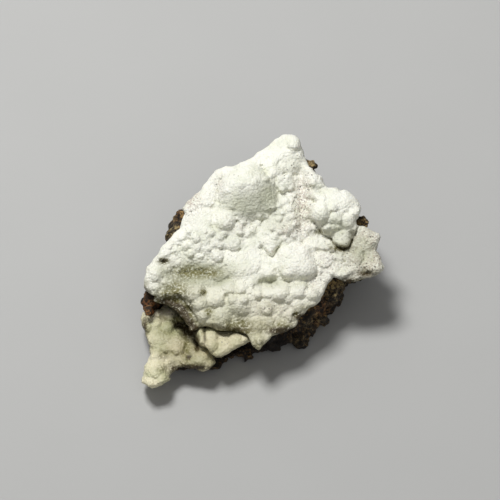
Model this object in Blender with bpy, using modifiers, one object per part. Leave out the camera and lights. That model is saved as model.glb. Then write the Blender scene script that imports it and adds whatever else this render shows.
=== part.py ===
"""Aragonite on limonite: a hand specimen of rough brown limonite with a white, lumpy aragonite crust.

Three solids. The rock lies on a flat face at z = 0 and carries everything. The upper crust covers its
broad sloping face, and a second crust covers a low ledge at the lower left of that face.

The growth is laid out in a leaning frame, in millimetres. U runs to the right, V runs up the face and
W stands out of the plane of U and V, 50 degrees above the ground. A bed is a gently sloping sheet in
that frame. Height h over a bed is measured along W, so an outline in U and V keeps its shape.
"""

import math
from dataclasses import dataclass, field

import bmesh
import bpy
from mathutils import Matrix, Vector, noise

MM = 0.001
LEAN = math.radians(50.0)
MIDDLE_HEIGHT = 15.0
GAP = 0.3
FLOOR_MARGIN = 1.5
FOOT_HEIGHT = 1.6
SOLE_SHARE = 0.8

CRUST_VOXEL = 0.62
CRUST_TRIANGLES = 5300
LEDGE_VOXEL = 0.5
LEDGE_TRIANGLES = 1400
ROCK_VOXEL = 0.8
ROCK_TRIANGLES = 4000

SLAB_TOP = -1.1
UNDERCUT = 0.91
UNDERCUT_RISE = 2.6
RIM_STEP = 1.7
RIM_LUMP = 1.05
RIM_SPREAD = 0.35
FIELD_STEP = 2.5
FIELD_SHIFT = 1.6
FIELD_LUMP = 1.15
FIELD_RISE = -0.75
FIELD_MARGIN = 1.3
FIELD_SPREAD = 0.5

ROCK_SWELL = 1.6
ROCK_SWELL_SIZE = 5.5
ROCK_GRAIN = 0.9
ROCK_GRAIN_SIZE = 2.0


@dataclass(frozen=True)
class Swell:
    """A broad hill, or a hollow where the height is below zero, on a bed."""

    u: float
    v: float
    half_u: float
    half_v: float
    height: float

    def at(self, u, v):
        """Height of the swell over the point (u, v)."""
        spread = ((u - self.u) / self.half_u) ** 2 + ((v - self.v) / self.half_v) ** 2
        return self.height * math.exp(-spread)


@dataclass(frozen=True)
class Bed:
    """A sloping sheet of growth: W = -fall * V - depth, and its contact lies thickness below."""

    fall: float
    depth: float
    thickness: float
    swells: tuple = field(default=())

    def contact(self):
        """Height of the lowest face of the growth, half a gap above the true contact."""
        return GAP / 2 - self.thickness

    def world(self, u, v, h):
        """World point in metres for a place on the bed."""
        share = min(max((h - self.contact()) / -self.contact(), 0.0), 1.0)
        h += share * sum(swell.at(u, v) for swell in self.swells)
        return world(u, v, h - self.fall * v - self.depth)

    def flat(self, u, v, h):
        """World point on the bed without its swells."""
        return world(u, v, h - self.fall * v - self.depth)

    def normal(self):
        """Unit normal of the bed in the world."""
        along_u = self.flat(1, 0, 0) - self.flat(0, 0, 0)
        along_v = self.flat(0, 1, 0) - self.flat(0, 0, 0)
        return along_u.cross(along_v).normalized()


def world(u, v, w):
    """World point in metres for a place in the leaning frame."""
    y = v * math.sin(LEAN) - w * math.cos(LEAN)
    z = MIDDLE_HEIGHT + v * math.cos(LEAN) + w * math.sin(LEAN)
    return Vector((u, y, z)) * MM


def seen_at(u, v, z):
    """World point on the sight line through (u, v) that is z millimetres above the ground."""
    return world(u, v, (z - MIDDLE_HEIGHT - v * math.cos(LEAN)) / math.sin(LEAN))


# The upper crust's swells: the peak, the two upper domes, the hollow between them and the terraces.
UPPER_SWELLS = (
    Swell(7.5, 28.0, 3.5, 4.0, 2.2),
    Swell(13.0, 20.5, 3.2, 4.0, 1.4),
    Swell(9.6, 15.0, 1.5, 8.5, -1.8),
    Swell(-4.5, 18.0, 7.0, 4.5, 2.4),
    Swell(3.0, 22.5, 3.0, 3.5, 1.0),
    Swell(-1.0, 10.6, 6.0, 2.2, -1.6),
    Swell(4.6, 8.6, 4.5, 4.5, 1.4),
    Swell(-9.0, 8.2, 5.0, 3.6, 1.2),
    Swell(-16.0, 9.5, 4.0, 4.5, 0.9),
    Swell(-15.0, 4.6, 5.5, 2.2, 0.9),
    Swell(-16.5, -3.2, 6.0, 3.4, -1.8),
    Swell(-26.0, -3.0, 3.0, 3.0, 1.2),
    Swell(-4.0, -2.0, 5.5, 2.4, 1.8),
    Swell(8.0, -0.4, 5.5, 3.2, 2.6),
    Swell(3.0, -5.2, 9.0, 1.3, -0.9),
    Swell(-1.0, -8.6, 13.0, 3.0, 1.3),
    Swell(-9.0, -15.5, 8.0, 2.6, -1.5),
    Swell(17.8, 13.2, 5.2, 4.0, 3.0),
    Swell(16.5, 6.4, 5.5, 1.7, -2.6),
    Swell(25.0, 1.5, 4.0, 5.0, -0.8),
)
UPPER = Bed(fall=0.577, depth=0.0, thickness=4.0, swells=UPPER_SWELLS)
LOWER = Bed(fall=0.729, depth=10.4, thickness=2.6)

# Outline of the upper crust in U and V, clockwise from the peak.
UPPER_OUTLINE = (
    (6.5, 30.6), (8.4, 30.0), (9.4, 28.6), (10.0, 26.0), (11.0, 23.4), (12.6, 21.0), (14.8, 19.0),
    (15.7, 17.4), (18.2, 17.1), (20.5, 16.8), (22.4, 14.9), (23.6, 12.8), (23.5, 10.8), (22.0, 9.4),
    (24.4, 8.0), (28.1, 6.4), (28.0, 4.4), (27.2, 2.2), (28.5, 0.2), (29.2, -1.6), (28.2, -3.1),
    (24.0, -4.4), (20.4, -5.4), (18.6, -4.2), (16.8, -4.7), (15.6, -6.4), (13.9, -9.2), (12.6, -10.9),
    (9.6, -12.9), (8.0, -15.4), (6.0, -16.7), (2.4, -17.7), (0.6, -19.6), (-0.8, -21.2), (-2.2, -20.0),
    (-3.0, -18.0), (-6.5, -16.1), (-9.5, -16.6), (-13.0, -15.5), (-15.4, -14.0), (-16.6, -11.6),
    (-18.3, -8.9), (-21.0, -8.1), (-24.0, -8.6), (-27.0, -7.6), (-28.2, -5.4), (-27.4, -1.9),
    (-25.2, 0.9), (-22.9, 4.0), (-20.2, 6.7), (-19.3, 8.6), (-18.2, 11.4), (-18.3, 13.3),
    (-15.6, 15.9), (-13.8, 18.4), (-11.4, 21.2), (-9.0, 22.4), (-6.0, 22.6), (-2.6, 24.5), (1.4, 27.3),
    (4.4, 29.7),
)

# Lumps of the upper crust: U, V and radius, then how high the centre stands over the bed.
UPPER_LUMPS = (
    (7.0, 28.0, 2.3, -0.2), (4.0, 25.3, 3.4, -1.4), (8.4, 25.0, 1.6, -0.2), (4.2, 21.2, 1.3, 0.2),
    (7.4, 22.3, 1.9, 0.0), (6.3, 19.2, 1.8, 0.2), (7.9, 17.8, 1.2, 0.2), (11.9, 20.4, 2.6, -0.8),
    (11.3, 15.9, 1.5, 0.1), (13.7, 15.8, 1.3, 0.2), (-3.6, 16.6, 5.8, -2.6), (-8.4, 17.2, 3.2, -0.8),
    (-0.2, 18.8, 3.0, -0.2), (-11.2, 19.3, 1.5, 0.2), (-9.5, 15.9, 1.4, 0.2), (2.5, 19.2, 1.5, 0.0),
    (-12.7, 15.0, 2.1, -0.5), (-15.4, 12.6, 2.2, -0.6), (-9.3, 10.5, 2.5, -0.3), (-6.8, 11.2, 1.1, 0.3),
    (-15.0, 9.5, 2.9, -1.0), (-18.0, 9.0, 1.6, -0.2), (-16.0, 5.6, 1.5, 0.1), (-17.9, 6.5, 1.3, 0.1),
    (-13.2, 5.8, 1.2, 0.3), (-19.4, 5.0, 1.2, 0.1), (-18.6, 3.1, 1.3, 0.1), (-15.7, 3.1, 1.1, 0.3),
    (-13.2, 3.6, 1.2, 0.3), (-11.0, 4.5, 1.3, 0.3), (-10.6, 1.9, 1.4, 0.1), (-7.0, 4.6, 1.8, 0.1),
    (-4.4, 8.9, 1.2, 0.1), (-22.4, 3.2, 1.8, -0.4), (-26.0, -2.5, 2.0, -0.2), (-26.4, -5.0, 1.7, -0.2),
    (-22.6, -5.8, 2.0, -0.6), (-19.0, -1.2, 2.2, -1.0), (4.5, 13.5, 1.4, 0.3), (3.0, 11.4, 1.1, 0.2),
    (7.0, 11.0, 1.1, 0.4), (5.0, 10.6, 1.2, 0.4), (0.6, 9.6, 1.2, 0.1), (3.0, 8.2, 1.8, 0.0),
    (6.2, 7.6, 1.3, 0.4), (2.0, 5.0, 2.2, -0.2), (8.6, 5.2, 1.2, 0.1), (2.3, 2.2, 1.2, 0.1),
    (-2.5, 5.0, 1.6, 0.0), (-3.4, 1.6, 1.8, -0.4), (7.2, -0.9, 3.6, -0.8), (11.3, -1.3, 2.2, 0.0),
    (13.6, 4.0, 2.0, -0.2), (-5.4, -2.0, 3.2, -1.2), (-2.0, -4.2, 2.1, -0.1), (1.8, -2.8, 1.9, 0.0),
    (14.8, 0.3, 1.8, -0.1), (17.4, -1.2, 2.0, -0.5), (14.3, 11.4, 2.5, -0.1), (18.0, 14.4, 2.6, -0.2),
    (20.8, 13.2, 2.5, -0.2), (17.4, 10.6, 1.6, 0.4), (20.2, 9.6, 1.5, 0.3), (15.4, 7.8, 1.6, 0.6),
    (19.6, 5.2, 2.0, 0.9), (17.3, 5.4, 1.2, 0.6), (21.3, 7.4, 1.2, 0.3), (25.2, 6.0, 2.0, -0.7),
    (23.2, 3.2, 2.0, -0.9), (26.2, 0.2, 2.2, -0.9), (22.4, -1.2, 2.2, -1.0), (25.6, -2.6, 1.4, -0.4),
    (-16.5, -7.8, 1.8, 0.4), (-14.3, -10.2, 2.2, 0.0), (-12.0, -7.2, 1.8, 0.0), (-7.6, -7.4, 2.2, 0.0),
    (-5.4, -10.8, 3.0, -0.5), (-1.0, -8.6, 1.8, 0.2), (3.0, -8.0, 2.6, -0.2), (7.4, -8.0, 2.6, -0.2),
    (6.6, -11.0, 2.0, 0.0), (1.4, -11.6, 1.9, 0.1), (11.8, -7.8, 2.0, -0.1), (-14.0, -13.8, 1.4, 0.4),
    (-10.0, -13.8, 2.2, -0.1), (-0.2, -15.4, 2.0, -0.2), (3.6, -14.0, 1.9, -0.2), (-1.0, -19.0, 1.5, -0.8),
)

# Outlines of the crust on the ledge: the pointed lobe, the slipper and the small plate between them.
LOBE_OUTLINE = (
    (-27.2, -14.1), (-25.8, -12.8), (-24.6, -11.5), (-22.4, -11.2), (-20.6, -12.3), (-19.3, -14.4),
    (-21.5, -16.6), (-19.2, -17.5), (-18.2, -19.6), (-15.4, -19.6), (-12.6, -21.6), (-11.3, -24.4),
    (-13.2, -26.2), (-16.0, -25.8), (-20.2, -25.7), (-21.9, -27.8), (-23.2, -29.4), (-26.0, -30.6),
    (-28.0, -29.6), (-28.8, -28.0), (-27.9, -25.4), (-26.6, -22.4), (-27.3, -19.8), (-28.2, -16.8),
    (-28.9, -14.4), (-28.4, -13.3),
)
SLIPPER_OUTLINE = (
    (-3.6, -20.2), (-6.8, -21.4), (-9.4, -22.9), (-11.0, -23.1), (-12.2, -22.2), (-13.6, -20.7),
    (-15.1, -19.8), (-15.5, -17.5), (-13.9, -16.2), (-13.2, -17.0), (-12.0, -16.4), (-10.6, -17.8),
    (-7.0, -17.9), (-4.4, -18.1), (-2.8, -19.3),
)
LOWER_LUMPS = (
    (-22.0, -12.6, 1.6, 0.0), (-20.3, -14.2, 1.1, 0.0), (-24.8, -12.7, 1.3, 0.2), (-27.3, -16.0, 1.4, 0.2),
    (-24.6, -16.4, 2.6, -0.4), (-21.3, -19.3, 2.9, 0.2), (-25.4, -19.6, 2.2, 0.2), (-20.6, -23.2, 1.5, 0.8),
    (-22.3, -24.0, 1.5, 0.7), (-25.2, -23.6, 2.0, 0.2), (-25.8, -27.6, 2.6, 0.0), (-23.4, -27.4, 1.7, 0.0),
    (-15.6, -22.6, 2.6, -0.4), (-18.3, -23.8, 1.6, 0.0), (-13.6, -24.3, 1.9, -0.2),
    (-10.4, -20.6, 2.2, 2.2), (-12.3, -18.2, 1.6, 2.6), (-7.2, -19.6, 1.6, 2.2), (-4.6, -19.2, 0.9, 2.2),
    (-14.4, -18.4, 1.1, 1.4), (-11.2, -21.8, 1.2, 1.8),
)
SLIPPER_RISE = 2.0

# Rim of the rock under the upper crust, in U and V, with the foot under each point in world X and Y.
ROCK_RIM = (
    (6.5, 29.0, 5.5, 29.0), (9.2, 27.0, 8.8, 27.4), (12.2, 24.6, 11.4, 25.0), (13.1, 21.6, 12.8, 22.0),
    (15.0, 17.9, 14.3, 19.5), (18.0, 16.0, 17.0, 17.5), (21.0, 14.5, 19.3, 15.4), (22.7, 12.2, 21.0, 13.0),
    (24.8, 10.3, 21.8, 10.8), (25.2, 8.6, 22.2, 9.6), (27.0, 5.6, 22.4, 8.8), (26.4, 2.8, 22.4, 8.0),
    (27.6, -0.4, 22.5, 7.2), (27.8, -2.3, 22.2, 6.2), (25.0, -3.6, 21.8, 5.2), (22.0, -4.8, 21.0, 3.8),
    (19.4, -5.4, 20.2, 2.2), (17.4, -6.0, 19.4, -1.2), (15.2, -7.2, 17.4, -3.4), (13.4, -9.8, 15.6, -6.6),
    (10.6, -11.8, 14.0, -8.8), (8.2, -14.4, 11.6, -11.4), (5.0, -16.2, 8.2, -13.6), (2.0, -17.4, 4.8, -14.4),
    (-1.2, -18.6, 1.0, -15.8), (-4.5, -20.4, -2.6, -18.2), (-8.0, -22.4, -6.8, -19.8),
    (-11.0, -24.6, -10.0, -21.0), (-13.0, -26.0, -12.2, -22.6), (-16.4, -26.5, -16.2, -22.6),
    (-20.0, -26.6, -19.6, -22.8), (-22.6, -27.6, -22.0, -22.0), (-25.6, -28.4, -24.0, -20.6),
    (-27.0, -25.8, -24.8, -18.4), (-25.9, -22.6, -24.9, -15.8), (-27.2, -18.0, -25.2, -12.6),
    (-28.2, -14.4, -25.8, -9.6), (-28.6, -11.2, -26.2, -6.6), (-28.2, -8.4, -26.0, -3.8),
    (-27.2, -5.5, -25.2, -0.8), (-26.5, -2.8, -24.2, 2.0), (-24.9, -0.2, -23.0, 4.2),
    (-23.2, 2.2, -21.8, 6.5), (-22.7, 4.7, -21.2, 9.0), (-22.8, 6.5, -21.0, 11.2),
    (-22.0, 8.7, -20.2, 13.0), (-20.6, 11.2, -18.9, 15.2), (-18.6, 13.1, -17.0, 17.2),
    (-15.8, 15.3, -14.6, 19.2), (-13.2, 18.0, -12.2, 21.4), (-10.5, 20.6, -9.6, 23.6),
    (-7.0, 21.2, -6.4, 24.4), (-3.0, 22.9, -2.8, 25.6), (0.5, 25.2, 0.3, 27.2), (3.6, 27.6, 2.9, 28.6),
)

# Knobs on the rock's sides: U and V as seen from the front, height above the ground and radius.
ROCK_KNOBS = (
    (17.9, -9.6, 4.6, 2.2), (18.4, -7.4, 7.2, 1.8), (16.2, -8.6, 7.6, 2.0), (14.0, -14.6, 3.2, 2.0),
    (11.2, -16.6, 2.6, 2.0), (9.2, -19.2, 1.6, 1.9), (10.4, -14.0, 6.2, 2.0), (5.4, -18.4, 3.6, 2.0),
    (1.6, -20.0, 3.2, 1.8), (-3.6, -22.8, 1.8, 2.0), (-27.0, -10.6, 7.0, 2.0), (-26.6, -9.0, 5.0, 2.2),
    (24.0, 9.2, 13.0, 1.5), (12.0, 23.0, 16.0, 1.6), (-21.4, 8.6, 11.5, 1.9), (-22.0, 5.6, 9.5, 1.8),
)
# Knobs and pits on the hidden sides, in world millimetres with their radius.
HIDDEN_KNOBS = (
    (8.0, 31.0, 10.0, 3.2), (-2.0, 28.0, 6.0, 3.4), (-12.0, 22.5, 9.0, 3.0), (16.5, 20.0, 6.0, 3.2),
    (22.5, 12.0, 5.0, 2.6), (-23.6, 4.0, 5.0, 2.8),
)
ROCK_PITS = (
    (2.6, 30.0, 12.0, 3.0), (12.4, 25.4, 8.0, 2.8), (-7.4, 25.6, 11.0, 2.8), (-16.6, 18.6, 4.4, 2.6),
    (20.6, 15.6, 10.0, 2.6), (-22.4, 8.8, 4.0, 2.4), (14.6, -6.8, 5.0, 2.2), (7.8, -14.4, 3.6, 2.0),
    (-26.4, -5.8, 3.4, 2.2), (22.6, 4.8, 6.4, 2.4), (4.0, -16.4, 6.4, 1.8), (-14.6, -24.0, 1.0, 1.6),
    (6.0, 6.0, -1.2, 2.6), (-9.0, -6.0, -1.4, 3.0), (-6.0, 18.0, -1.6, 3.2),
)

# The hollow over the ledge, in U and V: its inner side runs under the overhanging upper crust.
LEDGE_HOLLOW = (
    (-26.2, -11.7), (-25.4, -10.4), (-25.2, -9.6), (-22.6, -8.9), (-19.4, -7.6), (-16.8, -9.8), (-14.9, -12.8),
    (-12.0, -14.2), (-8.0, -14.6), (-3.6, -16.0), (-1.6, -19.0), (-1.0, -32.0), (-34.0, -34.0),
    (-34.0, -11.4), (-28.4, -11.4), (-27.2, -12.4),
)


def clear_scene():
    """Remove what the scene holds."""
    for item in list(bpy.data.objects):
        bpy.data.objects.remove(item, do_unlink=True)


def new_collection(name):
    """A collection under the scene."""
    collection = bpy.data.collections.new(name)
    bpy.context.scene.collection.children.link(collection)
    return collection


def to_object(bm, name, collection):
    """Turn a bmesh into an object and free it."""
    mesh = bpy.data.meshes.new(name)
    bm.to_mesh(mesh)
    bm.free()
    item = bpy.data.objects.new(name, mesh)
    collection.objects.link(item)
    return item


def bake_modifiers(item):
    """Replace an object's mesh by its evaluated mesh and drop the modifiers."""
    depsgraph = bpy.context.evaluated_depsgraph_get()
    mesh = bpy.data.meshes.new_from_object(item.evaluated_get(depsgraph))
    item.modifiers.clear()
    old = item.data
    item.data = mesh
    bpy.data.meshes.remove(old)


def fuse(item, voxel):
    """Join everything in the mesh into one skin."""
    remesh = item.modifiers.new("fuse", "REMESH")
    remesh.mode = "VOXEL"
    remesh.voxel_size = voxel
    bake_modifiers(item)
    bm = bmesh.new()
    bm.from_mesh(item.data)
    keep_largest(bm)
    bm.to_mesh(item.data)
    bm.free()


def keep_largest(bm):
    """Delete loose crumbs and inner bubbles, which the fused skin may leave."""
    unseen = set(bm.verts)
    shells = []
    while unseen:
        shell = [unseen.pop()]
        for vertex in shell:
            for edge in vertex.link_edges:
                other = edge.other_vert(vertex)
                if other in unseen:
                    unseen.remove(other)
                    shell.append(other)
        shells.append(shell)
    shells.sort(key=len)
    for shell in shells[:-1]:
        bmesh.ops.delete(bm, geom=shell, context="VERTS")


def thin_out(item, triangles):
    """Collapse edges until the mesh has about so many triangles."""
    item.data.calc_loop_triangles()
    decimate = item.modifiers.new("thin", "DECIMATE")
    decimate.ratio = min(1.0, triangles / len(item.data.loop_triangles))
    decimate.use_collapse_triangulate = True
    bake_modifiers(item)


def cut_flat(bm, point, normal, snap):
    """Cut away what lies behind a plane and close the cut with a flat face."""
    everything = bm.verts[:] + bm.edges[:] + bm.faces[:]
    bmesh.ops.bisect_plane(
        bm, geom=everything, dist=snap, plane_co=point, plane_no=normal, clear_inner=True
    )
    rim = [edge for edge in bm.edges if edge.is_boundary]
    bmesh.ops.holes_fill(bm, edges=rim, sides=0)
    bmesh.ops.triangulate(bm, faces=[face for face in bm.faces if len(face.verts) > 3])
    bmesh.ops.recalc_face_normals(bm, faces=bm.faces)


def draw_up(bm, face, rise):
    """Draw a face up by a height and return the new face."""
    raised = bmesh.ops.extrude_face_region(bm, geom=[face], use_keep_orig=True)
    top = [item for item in raised["geom"] if isinstance(item, bmesh.types.BMVert)]
    bmesh.ops.translate(bm, verts=top, vec=(0.0, 0.0, rise))
    return next(item for item in raised["geom"] if isinstance(item, bmesh.types.BMFace))


def add_prism(bm, outline, low, high):
    """An outline drawn up from one height to another."""
    floor = bm.faces.new([bm.verts.new((u, v, low)) for u, v in outline])
    draw_up(bm, floor, high - low)
    bmesh.ops.recalc_face_normals(bm, faces=bm.faces)


def add_slab(bm, outline, low, high):
    """A slab of growth whose lower edge draws in towards its middle."""
    floor = bm.faces.new([bm.verts.new((u, v, low)) for u, v in outline])
    drawn = draw_up(bm, floor, UNDERCUT_RISE)
    draw_up(bm, drawn, high - low - UNDERCUT_RISE)
    bmesh.ops.delete(bm, geom=[drawn], context="FACES_ONLY")
    middle = floor.calc_center_median()
    centred = Matrix.Translation(-middle)
    bmesh.ops.scale(bm, verts=floor.verts, vec=(UNDERCUT, UNDERCUT, 1.0), space=centred)
    bmesh.ops.recalc_face_normals(bm, faces=bm.faces)


def add_lump(bm, place, radius, subdivisions=2):
    """A ball of growth."""
    bmesh.ops.create_icosphere(
        bm, subdivisions=subdivisions, radius=radius, matrix=Matrix.Translation(place)
    )


def rim_places(outline, step, inset):
    """Places along a closed outline, set in from it, each with its running number."""
    places = []
    carried = 0.0
    count = len(outline)
    for index in range(count):
        start = Vector(outline[index])
        end = Vector(outline[(index + 1) % count])
        along = end - start
        inward = Vector((along.y, -along.x)).normalized()
        at = step - carried
        while at < along.length:
            spot = start + along * (at / along.length) + inward * inset
            places.append((spot.x, spot.y))
            at += step
        carried = along.length - (at - step)
    return places


def inside(outline, u, v):
    """Whether a place lies inside a closed outline."""
    crossings = 0
    for index, (u1, v1) in enumerate(outline):
        u0, v0 = outline[index - 1]
        if (v0 > v) != (v1 > v) and u < u0 + (u1 - u0) * (v - v0) / (v1 - v0):
            crossings += 1
    return crossings % 2 == 1


def well_inside(outline, u, v, margin):
    """Whether a place lies inside an outline with a margin on all four sides of it."""
    steps = ((margin, 0.0), (-margin, 0.0), (0.0, margin), (0.0, -margin))
    return all(inside(outline, u + along, v + up) for along, up in steps)


def field_places(outline, step, shift):
    """Places spread unevenly over an outline, each with a wobble from -1 to 1."""
    places = []
    rows = round(max(v for _, v in outline) - min(v for _, v in outline)) / step
    low_u = min(u for u, _ in outline)
    low_v = min(v for _, v in outline)
    columns = round(max(u for u, _ in outline) - low_u) / step
    for row in range(math.ceil(rows) + 1):
        for column in range(math.ceil(columns) + 1):
            drift = noise.noise_vector((0.7 * row, 0.7 * column, 3.0))
            u = low_u + step * (column + 0.5 * (row % 2)) + shift * drift.x
            v = low_v + step * row + shift * drift.y
            if well_inside(outline, u, v, FIELD_MARGIN):
                places.append((u, v, drift.z))
    return places


def grow(name, bed, prisms, lumps, voxel, triangles, collection):
    """A crust: slabs, rim lumps and listed lumps, fused, laid on its bed and cut at the contact."""
    bm = bmesh.new()
    for outline, top in prisms:
        add_slab(bm, outline, -bed.thickness - 2 * voxel, top)
        for u, v, wobble in field_places(outline, FIELD_STEP, FIELD_SHIFT):
            add_lump(bm, (u, v, top - SLAB_TOP + FIELD_RISE), FIELD_LUMP + FIELD_SPREAD * wobble, 1)
        for number, (u, v) in enumerate(rim_places(outline, RIM_STEP, RIM_LUMP)):
            wobble = noise.noise((u * 0.9, v * 0.9, 0.4 * number))
            add_lump(bm, (u, v, top + 0.1 + RIM_SPREAD * wobble), RIM_LUMP, 1)
    for u, v, radius, rise in lumps:
        add_lump(bm, (u, v, rise), radius)
    item = to_object(bm, name, collection)
    fuse(item, voxel)
    thin_out(item, triangles)
    bm = bmesh.new()
    bm.from_mesh(item.data)
    cut_flat(bm, (0.0, 0.0, bed.contact()), (0.0, 0.0, 1.0), 0.02)
    for vertex in bm.verts:
        vertex.co = bed.world(*vertex.co)
    bm.to_mesh(item.data)
    bm.free()
    return item


def loft_rock(bm):
    """The body of the rock: walls from the foot outline up to the rim outline, closed at both ends."""
    sole = [Vector((x * SOLE_SHARE, y * SOLE_SHARE, -FLOOR_MARGIN)) * MM for _, _, x, y in ROCK_RIM]
    foot = [Vector((x, y, FOOT_HEIGHT)) * MM for _, _, x, y in ROCK_RIM]
    rim = [UPPER.flat(u, v, 1.0 - UPPER.thickness) for u, v, _, _ in ROCK_RIM]
    rings = [[bm.verts.new(place) for place in ring] for ring in (sole, foot, rim)]
    for low, high in zip(rings, rings[1:]):
        for number in range(len(low)):
            bm.faces.new((low[number - 1], low[number], high[number], high[number - 1]))
    bm.faces.new(rings[0])
    bm.faces.new(rings[-1])
    bmesh.ops.recalc_face_normals(bm, faces=bm.faces)


def roughen(item):
    """Swell and grain the rock's skin, and press its pits in."""
    pits = [(Vector(place) * MM, radius * MM) for *place, radius in ROCK_PITS]
    bm = bmesh.new()
    bm.from_mesh(item.data)
    moved = []
    for vertex in bm.verts:
        place = vertex.co / MM
        out = ROCK_SWELL * noise.noise(place / ROCK_SWELL_SIZE)
        out += ROCK_GRAIN * noise.noise(place / ROCK_GRAIN_SIZE + Vector((7.0, 3.0, 1.0)))
        target = vertex.co + vertex.normal * out * MM
        for centre, radius in pits:
            reach = (vertex.co - centre).length / radius
            if reach < 1.0:
                target -= vertex.normal * radius * 0.8 * (1.0 - reach * reach)
        moved.append(target)
    for vertex, target in zip(bm.verts, moved):
        vertex.co = target
    bm.to_mesh(item.data)
    bm.free()


def hollow_over_ledge(cutters):
    """The cutter that clears the space over the ledge."""
    low = LOWER.contact() - GAP
    bm = bmesh.new()
    add_prism(bm, LEDGE_HOLLOW, low, low + 16.0)
    for vertex in bm.verts:
        vertex.co = LOWER.flat(*vertex.co)
    cutter = to_object(bm, "ledge_hollow_cutter", cutters)
    cutter.hide_render = True
    cutter.display_type = "WIRE"
    return cutter


def shape_rock(collection, cutters):
    """The limonite: a lofted body with knobs, roughened, cut at the contact and at the ground."""
    bm = bmesh.new()
    loft_rock(bm)
    for u, v, z, radius in ROCK_KNOBS:
        add_lump(bm, seen_at(u, v, z), radius * MM)
    for x, y, z, radius in HIDDEN_KNOBS:
        add_lump(bm, Vector((x, y, z)) * MM, radius * MM)
    item = to_object(bm, "limonite_matrix", collection)
    fuse(item, ROCK_VOXEL * MM)
    roughen(item)
    fuse(item, ROCK_VOXEL * MM)
    thin_out(item, ROCK_TRIANGLES)
    bm = bmesh.new()
    bm.from_mesh(item.data)
    contact = UPPER.flat(0.0, 0.0, UPPER.contact() - GAP)
    cut_flat(bm, contact, -UPPER.normal(), 0.02 * MM)
    cut_flat(bm, (0.0, 0.0, 0.0), (0.0, 0.0, 1.0), 0.02 * MM)
    bm.to_mesh(item.data)
    bm.free()
    clear = item.modifiers.new("clear_ledge", "BOOLEAN")
    clear.operation = "DIFFERENCE"
    clear.solver = "EXACT"
    clear.object = hollow_over_ledge(cutters)
    bake_modifiers(item)
    return item


def tidy_faces(item):
    """Weld stray slivers and shade the solid smooth."""
    bm = bmesh.new()
    bm.from_mesh(item.data)
    bmesh.ops.dissolve_degenerate(bm, dist=0.01 * MM, edges=bm.edges)
    bmesh.ops.triangulate(bm, faces=bm.faces)
    keep_largest(bm)
    bm.to_mesh(item.data)
    bm.free()
    item.data.shade_smooth()


def stone(name, colour, roughness):
    """A plain mineral material."""
    material = bpy.data.materials.new(name)
    material.use_nodes = True
    shader = material.node_tree.nodes["Principled BSDF"]
    shader.inputs["Base Color"].default_value = (*colour, 1.0)
    shader.inputs["Roughness"].default_value = roughness
    shader.inputs["Metallic"].default_value = 0.0
    return material


def main():
    """Build the specimen."""
    clear_scene()
    specimen = new_collection("aragonite_on_limonite")
    cutters = new_collection("cutters")
    rock = shape_rock(specimen, cutters)
    upper = grow(
        "aragonite_crust", UPPER, [(UPPER_OUTLINE, SLAB_TOP)], UPPER_LUMPS,
        CRUST_VOXEL, CRUST_TRIANGLES, specimen,
    )
    lower = grow(
        "aragonite_ledge_crust", LOWER, [(LOBE_OUTLINE, SLAB_TOP), (SLIPPER_OUTLINE, SLIPPER_RISE)],
        LOWER_LUMPS, LEDGE_VOXEL, LEDGE_TRIANGLES, specimen,
    )
    finishes = (
        (rock, stone("limonite", (0.12, 0.06, 0.03), 0.85)),
        (upper, stone("aragonite", (0.86, 0.86, 0.8), 0.55)),
        (lower, stone("aragonite_cream", (0.7, 0.7, 0.52), 0.5)),
    )
    for item, material in finishes:
        tidy_faces(item)
        item.data.materials.clear()
        item.data.materials.append(material)


main()
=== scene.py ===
"""Looks of the aragonite on limonite specimen: white lumpy growth over rough brown rock.

The growth is laid out in a leaning frame, in millimetres. U runs to the right, V runs up the face
and W stands out of the plane of U and V, which leans 50 degrees above the floor. A bed is a gently
sloping sheet in that frame. Height over a bed is measured along W, so an outline in U and V keeps
its shape.
"""

import logging
import math
from collections.abc import Iterable, Sequence
from dataclasses import dataclass
from enum import Enum
from typing import Any, Union

import bmesh
import bpy
import numpy as np
from mathutils import Matrix, Vector, noise


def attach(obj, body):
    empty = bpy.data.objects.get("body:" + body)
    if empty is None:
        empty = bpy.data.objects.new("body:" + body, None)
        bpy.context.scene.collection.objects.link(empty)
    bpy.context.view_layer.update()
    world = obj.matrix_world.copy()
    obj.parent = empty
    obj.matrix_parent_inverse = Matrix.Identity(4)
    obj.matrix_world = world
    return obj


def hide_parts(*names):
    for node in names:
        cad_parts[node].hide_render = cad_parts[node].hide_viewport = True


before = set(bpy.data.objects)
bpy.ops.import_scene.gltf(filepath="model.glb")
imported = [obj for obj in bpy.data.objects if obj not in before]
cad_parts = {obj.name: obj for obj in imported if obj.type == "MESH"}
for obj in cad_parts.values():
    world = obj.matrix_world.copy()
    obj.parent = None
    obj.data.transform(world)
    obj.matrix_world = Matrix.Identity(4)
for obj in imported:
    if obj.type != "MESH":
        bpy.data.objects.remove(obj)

log = logging.getLogger("specimen")

MM = 0.001
LEAN = math.radians(50.0)
# Height above the floor at which U, V and W are all nothing.
MIDDLE_HEIGHT = 15.0
# Air between the crusts and the rock.
GAP = 0.3
# Blender takes the offsets of its noise vectors from the clock unless it is given a seed.
STRAY_SEED = 3
# Height of a globule beyond its reach, under everything else.
FAR_BELOW = -99.0
# How near a point counts as lying on a cut, in the mesh's own unit.
CUT_REACH = 1e-7
# Reach of a pebble as a share of its size, and the share of its height that counts as level.
PEBBLE_REACH = 0.8
PEBBLE_LEVEL = 0.55
# Rows after which a field of granules repeats, and a granule's least radius and how far it varies,
# as shares of the field's size.
SOWN_ROWS = 128
LEAST_GRANULE = 0.45
GRANULE_RANGE = 0.4
# Reach of the patches in which black specks are sown, for a size of 1, and how thickly.
SOOT_REACH = 3.2
SOOT_SHARE = 1.2

Number = Union[float, "Wire"]
Colour = tuple[float, float, float]
Place = tuple[float, float]
Line = Sequence[Place]
Row = Sequence[float]


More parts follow.
